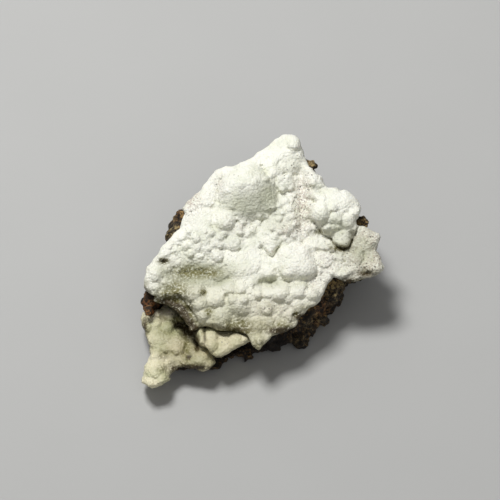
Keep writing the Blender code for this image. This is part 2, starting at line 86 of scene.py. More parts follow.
class Layer(Enum):
    """Numbers that are kept on a mesh's points, for its material to read."""

    STAIN = "stain"
    # Painted shade, grey-green, on the fronts of domes and in hollows.
    SHADE = "shade"
    # A warmer cream tone, with painted shade that darkens the lower parts.
    CREAM_AND_SHADE = "cream"
    BLUSH = "blush"
    # Dark grime, with painted shade in the crevices under the rims.
    GRIME_AND_SHADE = "grime_and_shade"
    SOOT = "soot"
    SOIL = "soil"
    # Painted shade along the cut crevices.
    SEAM_SHADE = "seam_shade"
    # Painted shade in the broad hollows of the growth and in the rock's pits.
    HOLLOW_SHADE = "hollow_shade"
    # Painted shade in the fine creases.
    CREVICE_SHADE = "crevice_shade"
    # Where the rock stands out, for its ochre dust and a painted highlight.
    CREST_DUST_AND_HIGHLIGHT = "crest_dust_and_highlight"
    DUST = "dust"
    RUST = "rust"
    # Painted shade that darkens the rock low down under the crusts.
    UNDER_SHADE = "under_shade"


def to_world(u: np.ndarray, v: np.ndarray, w: np.ndarray) -> np.ndarray:
    """World places of points in the leaning frame.

    Args:
        u: Distances to the right, in millimetres.
        v: Distances up the face.
        w: Distances out of the face.

    Returns:
        One row of world coordinates for each point, in metres.
    """
    y = v * math.sin(LEAN) - w * math.cos(LEAN)
    z = MIDDLE_HEIGHT + v * math.cos(LEAN) + w * math.sin(LEAN)
    return np.stack((u, y, z), axis=-1) * MM


def to_lean(places: np.ndarray) -> tuple[np.ndarray, np.ndarray, np.ndarray]:
    """U, V and W of world places.

    Args:
        places: One row of world coordinates for each point, in metres.

    Returns:
        The three distances in the leaning frame, in millimetres.
    """
    x, y, z = (places / MM).T
    rise = z - MIDDLE_HEIGHT
    v = y * math.sin(LEAN) + rise * math.cos(LEAN)
    w = rise * math.sin(LEAN) - y * math.cos(LEAN)
    return x, v, w


@dataclass(frozen=True)
class Swell:
    """A soft round patch on a bed, for a hill, a hollow or a tint."""

    u: float
    v: float
    half_u: float
    half_v: float
    height: float

    def over(self, u: np.ndarray, v: np.ndarray) -> np.ndarray:
        """Height of the patch over each place."""
        spread = ((u - self.u) / self.half_u) ** 2 + ((v - self.v) / self.half_v) ** 2
        return self.height * np.exp(-spread)


def swells(*rows: Row) -> tuple[Swell, ...]:
    """Patches from rows of U, V, half widths and height."""
    return tuple(Swell(*row) for row in rows)


def piled(patches: Iterable["Swell | Crease"], u: np.ndarray, v: np.ndarray) -> np.ndarray:
    """Sum of patches or grooves over each place."""
    return sum((patch.over(u, v) for patch in patches), np.zeros_like(u))


@dataclass(frozen=True)
class Bed:
    """A sloping sheet of growth: W = -fall * V - depth, with its contact a thickness below."""

    fall: float
    depth: float
    thickness: float
    swells: tuple[Swell, ...] = ()

    @property
    def contact(self) -> float:
        """Height of the growth's lowest face."""
        return GAP / 2 - self.thickness

    def lay(self, flat: np.ndarray) -> np.ndarray:
        """World places of points given by U, V and height over the bed.

        Args:
            flat: One row of U, V and height for each point, in millimetres.

        Returns:
            One row of world coordinates for each point, in metres.
        """
        u, v, h = flat.T
        share = np.clip((h - self.contact) / -self.contact, 0.0, 1.0)
        lifted = h + share * piled(self.swells, u, v)
        return to_world(u, v, lifted - self.fall * v - self.depth)

    def height_of(self, v: np.ndarray, w: np.ndarray) -> np.ndarray:
        """Height over the bed without its swells."""
        return w + self.fall * v + self.depth


def inside(outline: Line, u: np.ndarray, v: np.ndarray) -> np.ndarray:
    """Which places lie inside a closed outline.

    Args:
        outline: The outline's corners.
        u: The places' distances to the right.
        v: The places' distances up the face.

    Returns:
        True for each place inside.
    """
    within = np.zeros(np.shape(u), bool)
    for index, (u1, v1) in enumerate(outline):
        u0, v0 = outline[index - 1]
        if v0 == v1:
            continue
        spans = (v0 > v) != (v1 > v)
        within ^= spans & (u < u0 + (u1 - u0) * (v - v0) / (v1 - v0))
    return within


def off_line(line: Line, u: np.ndarray, v: np.ndarray) -> np.ndarray:
    """Distance of each place from a line of straight stretches.

    Args:
        line: The line's corners.
        u: The places' distances to the right.
        v: The places' distances up the face.

    Returns:
        One distance for each place.
    """
    nearest = np.full(np.shape(u), np.inf)
    for (u0, v0), (u1, v1) in zip(line, line[1:]):
        along_u, along_v = u1 - u0, v1 - v0
        share = ((u - u0) * along_u + (v - v0) * along_v) / (along_u**2 + along_v**2)
        share = np.clip(share, 0.0, 1.0)
        nearest = np.minimum(nearest, np.hypot(u - u0 - share * along_u, v - v0 - share * along_v))
    return nearest


def margin(outline: Line, u: np.ndarray, v: np.ndarray) -> np.ndarray:
    """Distance of each place from an outline, above zero inside it."""
    away = off_line((*outline, outline[0]), u, v)
    return np.where(inside(outline, u, v), away, -away)


@dataclass(frozen=True)
class Lobe:
    """A form of growth: an oval with a rounded top that stands higher at its front.

    Its turn is in degrees, and its lip is the extra stand of its front. A larger block and a
    smaller edge make it fuller and steeper.
    """

    u: float
    v: float
    half_u: float
    half_v: float
    stand: float
    turn: float = 0.0
    lip: float = 0.4
    block: float = 2.6
    edge: float = 0.72

    def over(self, u: np.ndarray, v: np.ndarray) -> np.ndarray:
        """Height of the form over each place.

        Args:
            u: The places' distances to the right.
            v: The places' distances up the face.

        Returns:
            One height for each place, nothing outside the form.
        """
        turn = math.radians(self.turn)
        off_u, off_v = u - self.u, v - self.v
        along = (off_u * math.cos(turn) + off_v * math.sin(turn)) / self.half_u
        up = (off_v * math.cos(turn) - off_u * math.sin(turn)) / self.half_v
        crown = np.clip(1.0 - np.hypot(along, up) ** self.block, 0.0, 1.0) ** self.edge
        return self.stand * (1.0 - self.lip * np.clip(up, -1.0, 1.0)) * crown


@dataclass(frozen=True)
class Ball:
    """A round globule whose middle lies at a height of its own."""

    u: float
    v: float
    radius: float
    middle: float

    def over(self, u: np.ndarray, v: np.ndarray) -> np.ndarray:
        """Height of the globule over each place, or far below outside it."""
        rest = self.radius**2 - (u - self.u) ** 2 - (v - self.v) ** 2
        return np.where(rest > 0.0, self.middle + np.sqrt(np.maximum(rest, 0.0)), FAR_BELOW)


def balls(*rows: Row) -> tuple[Ball, ...]:
    """Globules from rows of U, V, radius and the height of the middle."""
    return tuple(Ball(*row) for row in rows)


def seated(*rows: Row) -> tuple[Ball, ...]:
    """Globules from rows of U, V, radius and how far they stand out of what lies under them."""
    return tuple(Ball(u, v, radius, stand - radius) for u, v, radius, stand in rows)


@dataclass(frozen=True)
class Crease:
    """A groove between forms."""

    line: Line
    width: float
    depth: float

    def over(self, u: np.ndarray, v: np.ndarray) -> np.ndarray:
        """Depth of the groove at each place."""
        return self.depth * np.exp(-((off_line(self.line, u, v) / self.width) ** 2))


class Clay:
    """Mesh work that every piece shares."""

    @staticmethod
    def places(mesh: bpy.types.Mesh) -> np.ndarray:
        """Coordinates of a mesh's points.

        Args:
            mesh: The mesh.

        Returns:
            One row for each point.
        """
        flat = np.empty(len(mesh.vertices) * 3)
        mesh.vertices.foreach_get("co", flat)
        return flat.reshape(-1, 3)

    @staticmethod
    def put(mesh: bpy.types.Mesh, places: np.ndarray) -> None:
        """Move a mesh's points."""
        mesh.vertices.foreach_set("co", places.astype(np.float32).ravel())
        mesh.update()

    @staticmethod
    def outward(mesh: bpy.types.Mesh) -> np.ndarray:
        """Normals of a mesh's points.

        Args:
            mesh: The mesh.

        Returns:
            One row for each point.
        """
        flat = np.empty(len(mesh.vertices) * 3)
        mesh.vertex_normals.foreach_get("vector", flat)
        return flat.reshape(-1, 3)

    @staticmethod
    def to_object(bm: bmesh.types.BMesh, name: str) -> bpy.types.Object:
        """Turn a bmesh into an object of the scene and free it.

        Args:
            bm: The bmesh.
            name: The object's name.

        Returns:
            The object.
        """
        mesh = bpy.data.meshes.new(name)
        bm.to_mesh(mesh)
        bm.free()
        item = bpy.data.objects.new(name, mesh)
        bpy.context.scene.collection.objects.link(item)
        return item

    @staticmethod
    def loft(bm: bmesh.types.BMesh, rings: Sequence[Sequence[Row]]) -> None:
        """Draw a closed body up through rings that have the same number of corners.

        Args:
            bm: The bmesh in which the body is drawn.
            rings: The rings' corners, from the lowest ring to the highest.
        """
        ordered = [bm.verts.new(place) for place in rings[0]]
        face = bm.faces.new(ordered)
        for number, ring in enumerate(rings[1:]):
            raised = bmesh.ops.extrude_face_region(bm, geom=[face], use_keep_orig=number == 0)
            face = next(part for part in raised["geom"] if isinstance(part, bmesh.types.BMFace))
            met = {vertex.co.to_tuple(): vertex for vertex in face.verts}
            ordered = [met[vertex.co.to_tuple()] for vertex in ordered]
            for vertex, place in zip(ordered, ring):
                vertex.co = place
        bmesh.ops.triangulate(bm, faces=bm.faces)
        bmesh.ops.recalc_face_normals(bm, faces=bm.faces)

    @staticmethod
    def bake(item: bpy.types.Object) -> None:
        """Replace an object's mesh by its evaluated mesh and drop the modifiers.

        Args:
            item: The object.
        """
        depsgraph = bpy.context.evaluated_depsgraph_get()
        mesh = bpy.data.meshes.new_from_object(item.evaluated_get(depsgraph))
        item.modifiers.clear()
        old = item.data
        item.data = mesh
        bpy.data.meshes.remove(old)

    @classmethod
    def fuse(cls, item: bpy.types.Object, voxel: float) -> None:
        """Join everything in an object's mesh into one even skin.

        Args:
            item: The object.
            voxel: The size of the skin's faces, in the mesh's own unit.
        """
        remesh = item.modifiers.new("fuse", "REMESH")
        remesh.mode = "VOXEL"
        remesh.voxel_size = voxel
        cls.bake(item)

    @staticmethod
    def neighbours(mesh: bpy.types.Mesh) -> tuple[np.ndarray, np.ndarray]:
        """The two ends of each edge, listed from both sides.

        Args:
            mesh: The mesh.

        Returns:
            The points at the edges' starts, and those at their ends.
        """
        flat = np.empty(len(mesh.edges) * 2, int)
        mesh.edges.foreach_get("vertices", flat)
        first, second = flat.reshape(-1, 2).T
        return np.concatenate((first, second)), np.concatenate((second, first))

    @classmethod
    def largest(cls, mesh: bpy.types.Mesh) -> np.ndarray:
        """Which points belong to the largest connected shell.

        Args:
            mesh: The mesh.

        Returns:
            True for each point of that shell.
        """
        start, end = cls.neighbours(mesh)
        label = np.arange(len(mesh.vertices))
        while True:
            lowest = label.copy()
            np.minimum.at(lowest, start, label[end])
            lowest = lowest[lowest]
            if np.array_equal(lowest, label):
                break
            label = lowest
        names, counts = np.unique(label, return_counts=True)
        return label == names[np.argmax(counts)]

    @classmethod
    def keep_largest(cls, item: bpy.types.Object) -> None:
        """Delete loose bits and inner bubbles that a fused skin or a cut may leave.

        Args:
            item: The object.
        """
        keep = cls.largest(item.data)
        if keep.all():
            return
        bm = bmesh.new()
        bm.from_mesh(item.data)
        loose = [vertex for vertex, kept in zip(bm.verts, keep) if not kept]
        bmesh.ops.delete(bm, geom=loose, context="VERTS")
        bm.to_mesh(item.data)
        bm.free()

    @staticmethod
    def melt(item: bpy.types.Object, rounds: int, chosen: np.ndarray | None = None) -> None:
        """Soften the creases of an object's mesh.

        Args:
            item: The object.
            rounds: How many times each point moves towards its neighbours.
            chosen: True for each point that may move, or None for all.
        """
        bm = bmesh.new()
        bm.from_mesh(item.data)
        verts = [v for v in bm.verts if chosen is None or chosen[v.index]]
        for _ in range(rounds):
            bmesh.ops.smooth_vert(
                bm, verts=verts, factor=0.5, use_axis_x=True, use_axis_y=True, use_axis_z=True
            )
        bm.to_mesh(item.data)
        bm.free()

    @staticmethod
    def cut_flat(item: bpy.types.Object, point: Row, normal: Row) -> None:
        """Cut away what lies behind a plane and close the cut, but for the pits that open on it.

        Args:
            item: The object.
            point: A point on the plane.
            normal: The plane's normal, which points to the side that stays.
        """
        bm = bmesh.new()
        bm.from_mesh(item.data)
        everything = bm.verts[:] + bm.edges[:] + bm.faces[:]
        bmesh.ops.bisect_plane(
            bm, geom=everything, dist=CUT_REACH, plane_co=point, plane_no=normal, clear_inner=True
        )
        rim = [edge for edge in bm.edges if edge.is_boundary]
        bmesh.ops.triangle_fill(bm, edges=rim, use_beauty=True, normal=normal)
        bmesh.ops.recalc_face_normals(bm, faces=bm.faces)
        bm.to_mesh(item.data)
        bm.free()

    @classmethod
    def hollowness(cls, mesh: bpy.types.Mesh, rounds: int) -> np.ndarray:
        """How far each point lies below its surroundings, along its normal.

        Args:
            mesh: The mesh.
            rounds: How far the surroundings reach, in rounds of averaging.

        Returns:
            One distance for each point, above zero in a hollow.
        """
        start, end = cls.neighbours(mesh)
        places = cls.places(mesh)
        count = np.maximum(np.bincount(start, minlength=len(places)), 1)
        even = places.copy()
        for _ in range(rounds):
            total = [
                np.bincount(start, weights=even[end, axis], minlength=len(places))
                for axis in range(3)
            ]
            even = 0.5 * even + 0.5 * np.stack(total, axis=-1) / count[:, None]
        return np.einsum("ij,ij->i", even - places, cls.outward(mesh))

    @staticmethod
    def paint(mesh: bpy.types.Mesh, layer: Layer, values: np.ndarray) -> None:
        """Keep one number from 0 to 1 for each point."""
        kept = mesh.attributes.new(layer.value, "FLOAT", "POINT")
        kept.data.foreach_set("value", np.clip(values, 0.0, 1.0).astype(np.float32))


def pebbled(place: Vector, size: float) -> float:
    """Share of its height that a field of small fused balls has, about zero on average.

    Args:
        place: Where, in millimetres.
        size: Distance from ball to ball.

    Returns:
        From -0.55 between the balls to 0.25 on top of them.
    """
    nearest = noise.voronoi(place / size)[0][0]
    return math.sqrt(max(0.0, PEBBLE_REACH**2 - nearest**2)) - PEBBLE_LEVEL


def granules(u: np.ndarray, v: np.ndarray, size: float, seed: int) -> np.ndarray:
    """Height of a field of round granules over each place, in millimetres.

    Args:
        u: The places' distances to the right.
        v: The places' distances up the face.
        size: Distance from granule to granule.
        seed: Which field.

    Returns:
        From nothing between the granules to about 0.9 of the size on top of the largest.
    """
    sown = np.random.default_rng(seed).random((3, SOWN_ROWS, SOWN_ROWS))
    column, row = np.floor(u / size).astype(int), np.floor(v / size).astype(int)
    height = np.zeros_like(u)
    for step_u in (-1, 0, 1):
        for step_v in (-1, 0, 1):
            off_u, off_v, girth = sown[:, (column + step_u) % SOWN_ROWS, (row + step_v) % SOWN_ROWS]
            away_u = u / size - (column + step_u + off_u)
            away_v = v / size - (row + step_v + off_v)
            cap = (LEAST_GRANULE + GRANULE_RANGE * girth) ** 2 - away_u**2 - away_v**2
            height = np.maximum(height, np.sqrt(np.maximum(cap, 0.0)))
    return height * size


# The upper crust's swells: the peak, the two upper domes, the hollow between them and the terraces.
UPPER_SWELLS = swells(
    (7.5, 28.0, 3.5, 4.0, 2.2), (13.0, 20.5, 3.2, 4.0, 1.4), (9.6, 15.0, 1.5, 8.5, -1.8),
    (-4.0, 19.4, 7.0, 6.0, 2.9), (3.0, 22.5, 3.0, 3.5, 1.0), (-1.0, 9.2, 6.0, 2.0, -1.2),
    (4.6, 8.6, 4.5, 4.5, 1.4), (-9.0, 8.2, 5.0, 3.6, 1.2), (-16.0, 9.5, 4.0, 4.5, 0.9),
    (-15.0, 4.6, 5.5, 2.2, 0.9), (-16.5, -3.2, 6.0, 3.4, -1.8), (-26.0, -3.0, 3.0, 3.0, 1.2),
    (-4.0, -2.0, 6.5, 3.0, 1.0), (8.0, -0.4, 5.5, 4.2, 0.8), (3.0, -5.2, 9.0, 1.3, -0.9),
    (-1.0, -8.4, 12.0, 3.0, 1.2), (-5.0, -15.5, 11.0, 2.8, -1.2), (17.8, 13.2, 5.2, 4.0, 1.8),
    (16.5, 5.6, 5.5, 1.7, -1.5), (25.0, 1.5, 4.0, 5.0, -0.8),
)
UPPER = Bed(fall=0.577, depth=0.0, thickness=4.0, swells=UPPER_SWELLS)
LOWER = Bed(fall=0.729, depth=10.4, thickness=2.6)

# Outline of the upper crust in U and V, clockwise from the peak.
UPPER_OUTLINE = (
    (5.8, 30.6), (7.2, 30.6), (8.4, 30.0), (9.3, 29.3), (9.6, 28.0), (10.0, 26.6), (10.2, 25.4),
    (10.8, 24.2), (11.4, 22.7), (12.2, 21.7), (13.2, 20.8), (14.3, 20.2), (14.9, 19.0),
    (15.5, 18.0), (15.9, 17.5), (17.0, 17.6), (18.2, 17.3), (19.0, 16.8), (19.8, 17.1),
    (20.7, 16.9), (21.5, 16.0), (22.4, 15.2), (23.1, 14.4), (23.7, 13.2), (23.9, 11.9),
    (23.5, 10.6), (22.6, 9.4), (23.2, 8.3), (24.4, 8.2), (25.6, 7.7), (26.8, 6.9), (28.2, 6.6),
    (28.5, 5.6), (28.2, 4.4), (27.7, 3.2), (27.4, 2.2), (28.2, 1.2), (28.7, 0.2), (28.8, -0.8),
    (29.3, -1.6), (29.0, -2.6), (27.7, -3.5), (26.0, -4.2), (24.0, -4.7), (22.0, -5.4),
    (20.0, -5.6), (18.4, -4.4), (17.4, -4.2), (16.1, -5.3), (15.5, -6.6), (14.4, -8.4),
    (13.8, -9.7), (13.0, -10.8), (11.8, -11.4), (10.6, -12.3), (9.6, -13.2), (8.7, -14.3),
    (8.1, -15.6), (6.9, -16.7), (4.2, -17.6), (2.4, -18.0), (1.3, -19.2), (0.1, -20.6),
    (-0.8, -21.4), (-2.2, -20.6), (-2.9, -18.9), (-3.6, -17.9), (-4.8, -17.2), (-6.5, -16.6),
    (-8.0, -16.8), (-9.5, -17.1), (-11.0, -16.7), (-12.4, -15.9), (-13.8, -15.8), (-15.2, -14.8),
    (-16.0, -13.2), (-16.8, -11.8), (-18.0, -10.8), (-18.5, -9.1), (-20.0, -8.6), (-22.0, -8.6),
    (-24.0, -9.0), (-26.1, -8.5), (-27.7, -7.4), (-28.3, -6.2), (-28.4, -5.2), (-27.8, -3.4),
    (-27.6, -1.7), (-26.8, -0.7), (-26.0, 0.2), (-25.2, 1.4), (-24.4, 2.8), (-23.2, 4.1),
    (-22.2, 5.2), (-21.2, 6.4), (-20.3, 7.0), (-19.8, 7.4), (-19.6, 8.4), (-19.2, 9.6),
    (-18.6, 11.2), (-19.2, 12.4), (-18.4, 13.5), (-17.4, 14.6), (-16.6, 15.4), (-15.4, 16.2),
    (-14.6, 17.2), (-14.0, 18.1), (-13.6, 19.0), (-12.4, 20.2), (-11.4, 21.4), (-10.0, 22.3),
    (-8.6, 22.8), (-7.4, 22.7), (-6.0, 22.9), (-4.6, 23.7), (-3.0, 24.5), (-2.0, 25.2),
    (-0.6, 26.3), (0.6, 27.0), (2.0, 28.1), (3.0, 28.9), (4.2, 29.8), (5.0, 30.4),
)

# Height of the upper crust's own slab over its bed.
SLAB_TOP = -0.6
# The skirt of growth that hangs from the crust's lower left rim, towards the ledge.
SKIRT_OUTLINE = (
    (-16.0, -8.0), (-12.0, -13.0), (-3.0, -14.5), (-3.6, -17.3), (-6.0, -17.3), (-8.5, -17.2),
    (-10.6, -17.2), (-11.6, -16.3), (-13.8, -16.1), (-14.9, -16.0), (-15.6, -16.9), (-16.9, -17.1),
    (-18.0, -15.7), (-19.0, -14.0), (-20.6, -12.2), (-22.4, -11.0), (-24.2, -10.5), (-26.0, -9.8),
    (-25.4, -7.4), (-21.0, -7.4),
)
SKIRT_TOP = -2.8

# Broad forms of the upper crust: U, V, half widths and stand, then turn, lip and block where they
# differ from the usual.
UPPER_DOMES = (
    Lobe(7.9, 28.0, 1.9, 2.0, 0.9, lip=0.2),
    Lobe(-3.6, 15.6, 7.3, 7.2, 3.0, lip=-0.5, block=2.3, edge=0.7),
    Lobe(1.4, 18.2, 2.2, 3.0, 1.4, lip=0.2), Lobe(12.3, 20.0, 2.4, 4.4, 0.8, lip=0.2),
    Lobe(18.2, 13.8, 5.3, 4.0, 1.4, lip=0.1), Lobe(18.4, 8.4, 3.8, 3.8, 1.2, lip=0.1),
    Lobe(-14.2, 9.4, 2.9, 3.2, 0.7, block=3.4), Lobe(-4.6, 0.8, 4.6, 5.6, 0.5, lip=0.5, block=3.0),
    Lobe(2.0, 5.0, 2.8, 4.2, 0.7, block=2.8), Lobe(14.0, 4.4, 3.8, 1.9, 0.6, lip=0.5, block=3.0),
    Lobe(15.0, 0.2, 2.2, 2.0, 0.8), Lobe(-22.3, 3.4, 2.0, 3.6, 0.6, turn=-35.0, block=3.2),
    Lobe(-13.2, 15.2, 2.4, 2.9, 0.4, lip=0.3, block=3.2), Lobe(22.5, 0.8, 2.5, 1.9, 0.4, block=3.4),
    Lobe(26.7, -1.2, 2.3, 2.1, 0.7), Lobe(26.7, 5.2, 2.1, 2.0, 0.6, block=3.2),
    Lobe(-18.0, -7.0, 3.0, 1.8, 0.4),
)
# Forms that grow on the broad ones.
UPPER_LOBES = (
    Lobe(3.0, 21.0, 1.4, 1.3, 0.5), Lobe(3.8, 25.4, 2.8, 1.6, 0.3),
    Lobe(1.6, -3.0, 1.8, 2.0, 0.8, lip=0.4), Lobe(-2.4, -5.2, 2.6, 1.4, 0.7, lip=0.4),
    Lobe(16.5, 2.7, 1.6, 1.0, 0.4), Lobe(18.2, 0.5, 1.9, 0.7, 0.4),
    Lobe(18.8, -3.1, 2.7, 1.3, 0.8, lip=0.4), Lobe(13.7, -1.8, 0.6, 1.6, 0.3, turn=15.0),
    Lobe(25.2, 5.2, 1.4, 1.5, 0.3), Lobe(23.2, 4.7, 1.0, 1.0, 0.4), Lobe(24.5, 3.3, 1.7, 1.2, 0.3),
    Lobe(27.4, 1.0, 1.1, 1.2, 0.4), Lobe(24.6, -4.0, 2.6, 0.6, 0.3),
    Lobe(6.3, -12.9, 1.9, 0.7, 0.5, turn=25.0), Lobe(4.0, -15.7, 2.4, 1.0, 0.5),
    Lobe(-22.4, -5.6, 2.2, 1.6, 0.4), Lobe(-19.6, -1.0, 2.2, 1.3, 0.3),
    Lobe(-16.0, -4.6, 2.4, 1.2, 0.3), Lobe(-11.6, -3.6, 2.0, 1.3, 0.3),
    Lobe(-16.8, 12.4, 1.6, 1.7, 0.4), Lobe(-2.6, 7.2, 1.9, 1.6, 0.3),
    Lobe(-16.4, 2.0, 2.4, 1.6, 0.3),
)
# Globules that sit on what lies under them, the large ones first.
UPPER_LUMPS = seated(
    (8.3, -0.8, 6.2, 2.5), (10.2, -1.8, 3.2, 0.35), (6.2, 1.2, 2.6, 0.4), (9.8, 1.8, 2.0, 0.4),
    (6.4, -3.0, 1.8, 0.4), (5.8, 18.6, 2.4, 1.3), (7.6, 22.6, 2.4, 0.8), (-8.6, 9.6, 2.7, 1.4),
    (-6.6, 3.9, 2.0, 1.1), (-11.0, 1.0, 1.8, 1.0), (-25.1, -3.1, 3.6, 0.9), (-16.3, -7.7, 2.4, 1.9),
    (-14.9, -10.2, 2.3, 1.7), (-13.8, -13.0, 2.0, 1.3), (-11.0, -9.6, 2.4, 1.4),
    (-5.6, -11.0, 3.7, 1.3), (-7.9, -6.6, 2.1, 1.3), (-5.0, -6.4, 1.9, 1.1),
    (-9.8, -13.9, 2.8, 1.3), (4.3, -7.7, 2.8, 1.6), (8.6, -7.2, 2.5, 1.4), (6.4, -9.2, 1.7, 0.8),
    (12.0, -7.9, 1.9, 1.1), (1.6, -8.0, 1.7, 1.0), (-0.9, -8.3, 1.3, 0.9), (1.0, -11.6, 2.5, 0.9),
    (4.8, -11.6, 2.4, 0.8), (8.4, -10.9, 2.2, 0.7), (-1.2, -15.2, 2.7, 0.9), (1.6, -14.4, 1.9, 0.7),
    (-0.7, -18.9, 1.7, 0.8), (-6.9, -9.6, 1.2, 0.7), (-4.4, -9.7, 1.2, 0.7), (-8.4, 16.7, 1.4, 0.4),
    (-5.0, 18.2, 1.5, 0.4), (-1.6, 18.6, 1.4, 0.4), (0.8, 19.4, 1.1, 0.6), (4.3, 21.3, 0.8, 0.4),
    (4.9, 17.2, 1.0, 0.6), (7.0, 17.5, 1.0, 0.6), (6.3, 20.0, 1.0, 0.5), (4.6, 19.4, 0.8, 0.4),
    (5.7, 14.0, 1.0, 0.7), (4.2, 13.2, 1.1, 0.7), (7.4, 14.4, 0.9, 0.6), (6.9, 12.3, 1.2, 0.8),
    (4.9, 11.4, 1.0, 0.7), (3.2, 11.4, 0.8, 0.6), (8.6, 12.6, 0.8, 0.6), (7.6, 10.6, 1.0, 0.7),
    (5.9, 9.9, 0.9, 0.6), (4.0, 9.6, 0.9, 0.6), (2.4, 13.0, 0.8, 0.5), (8.4, 15.8, 0.9, 0.6),
    (4.1, 7.3, 1.6, 1.0), (6.3, 7.4, 1.5, 1.0), (2.3, 8.0, 1.2, 0.8), (8.2, 8.6, 1.0, 0.7),
    (2.9, 5.6, 1.2, 0.7), (5.2, 5.3, 1.1, 0.7), (1.5, 6.4, 0.9, 0.6), (7.6, 5.8, 0.9, 0.6),
    (1.2, 10.4, 0.8, 0.5), (-0.6, 10.6, 0.8, 0.5), (11.2, 16.3, 1.6, 0.7), (10.5, 13.1, 1.2, 0.7),
    (10.6, 10.8, 1.1, 0.7), (11.1, 7.3, 1.3, 0.7), (12.4, 18.8, 1.1, 0.5), (10.6, 18.6, 0.9, 0.5),
    (3.0, 23.6, 1.3, 0.4), (9.4, 25.0, 0.8, 0.4), (13.5, 15.3, 0.9, 0.5), (14.8, 14.8, 0.9, 0.5),
    (-15.8, 5.4, 1.6, 0.9), (-18.4, 3.2, 1.2, 0.8), (-15.3, 2.9, 1.2, 0.7), (-19.6, 5.4, 1.4, 0.8),
    (-13.4, 4.6, 1.0, 0.7), (-12.2, 6.6, 1.1, 0.7), (-17.6, 6.9, 1.1, 0.6), (-10.2, 5.4, 1.1, 0.7),
    (-10.2, 3.6, 0.8, 0.6), (-9.0, 6.3, 0.8, 0.6), (-5.2, 8.2, 0.9, 0.6), (-4.6, 9.4, 0.7, 0.5),
    (-5.4, 6.7, 0.8, 0.6), (-12.9, 2.6, 0.8, 0.5), (-17.0, 1.4, 1.1, 0.6), (-14.6, 0.8, 0.9, 0.5),
    (-20.6, 2.4, 1.1, 0.6), (-11.9, -0.8, 0.6, 0.4), (-2.4, 7.4, 1.2, 0.6), (-1.0, 9.0, 0.8, 0.5),
    (1.5, 4.5, 1.3, 0.3), (9.0, 5.0, 0.7, 0.5), (0.8, -6.3, 0.7, 0.5), (24.6, 7.8, 0.9, 0.5),
    (1.4, -12.3, 0.9, 0.5), (4.3, -12.6, 0.9, 0.4), (6.6, -14.0, 1.1, 0.6), (-20.2, -2.6, 0.8, 0.4),
    (-9.6, -1.2, 1.1, 0.3), (-25.4, -6.6, 1.3, 0.6), (-23.0, -5.6, 1.2, 0.6),
    (-22.6, -2.2, 1.0, 0.6), (-27.0, -1.6, 0.9, 0.5), (-24.0, 0.9, 1.0, 0.5),
    (-8.6, -15.6, 0.9, 0.4), (-12.6, -15.0, 1.0, 0.5), (3.0, -6.2, 0.9, 0.5), (5.6, -6.4, 1.0, 0.5),
    (9.8, -6.2, 0.9, 0.5), (7.4, -6.0, 0.7, 0.4), (2.2, -9.6, 0.8, 0.4), (-16.9, -6.2, 0.8, 0.5),
    (-9.6, -8.0, 0.8, 0.4), (-3.2, -7.4, 0.8, 0.5),
)
# Globules of the right cluster and a few single ones.
UPPER_BALLS = balls(
    (14.0, 11.2, 2.7, 1.1), (15.8, 7.3, 1.65, 0.8), (19.3, 5.2, 2.2, 0.8), (17.8, 10.0, 2.1, 0.7),
    (20.6, 9.2, 2.0, 0.7), (22.2, 7.9, 1.3, 0.6), (17.1, 7.6, 0.8, 1.4), (18.4, 8.0, 0.9, 1.5),
    (20.8, 7.6, 0.9, 1.2), (13.5, 8.7, 1.0, 0.7), (22.6, 11.2, 1.5, 0.6), (17.2, 4.9, 0.9, 0.6),
    (18.7, 9.5, 0.7, 2.2), (18.8, 4.4, 0.8, 2.1), (14.6, 14.3, 1.2, 0.7), (12.6, 15.6, 1.0, 0.3),
    (16.3, 9.3, 0.8, 1.6), (17.0, 12.4, 0.9, 1.9),
)
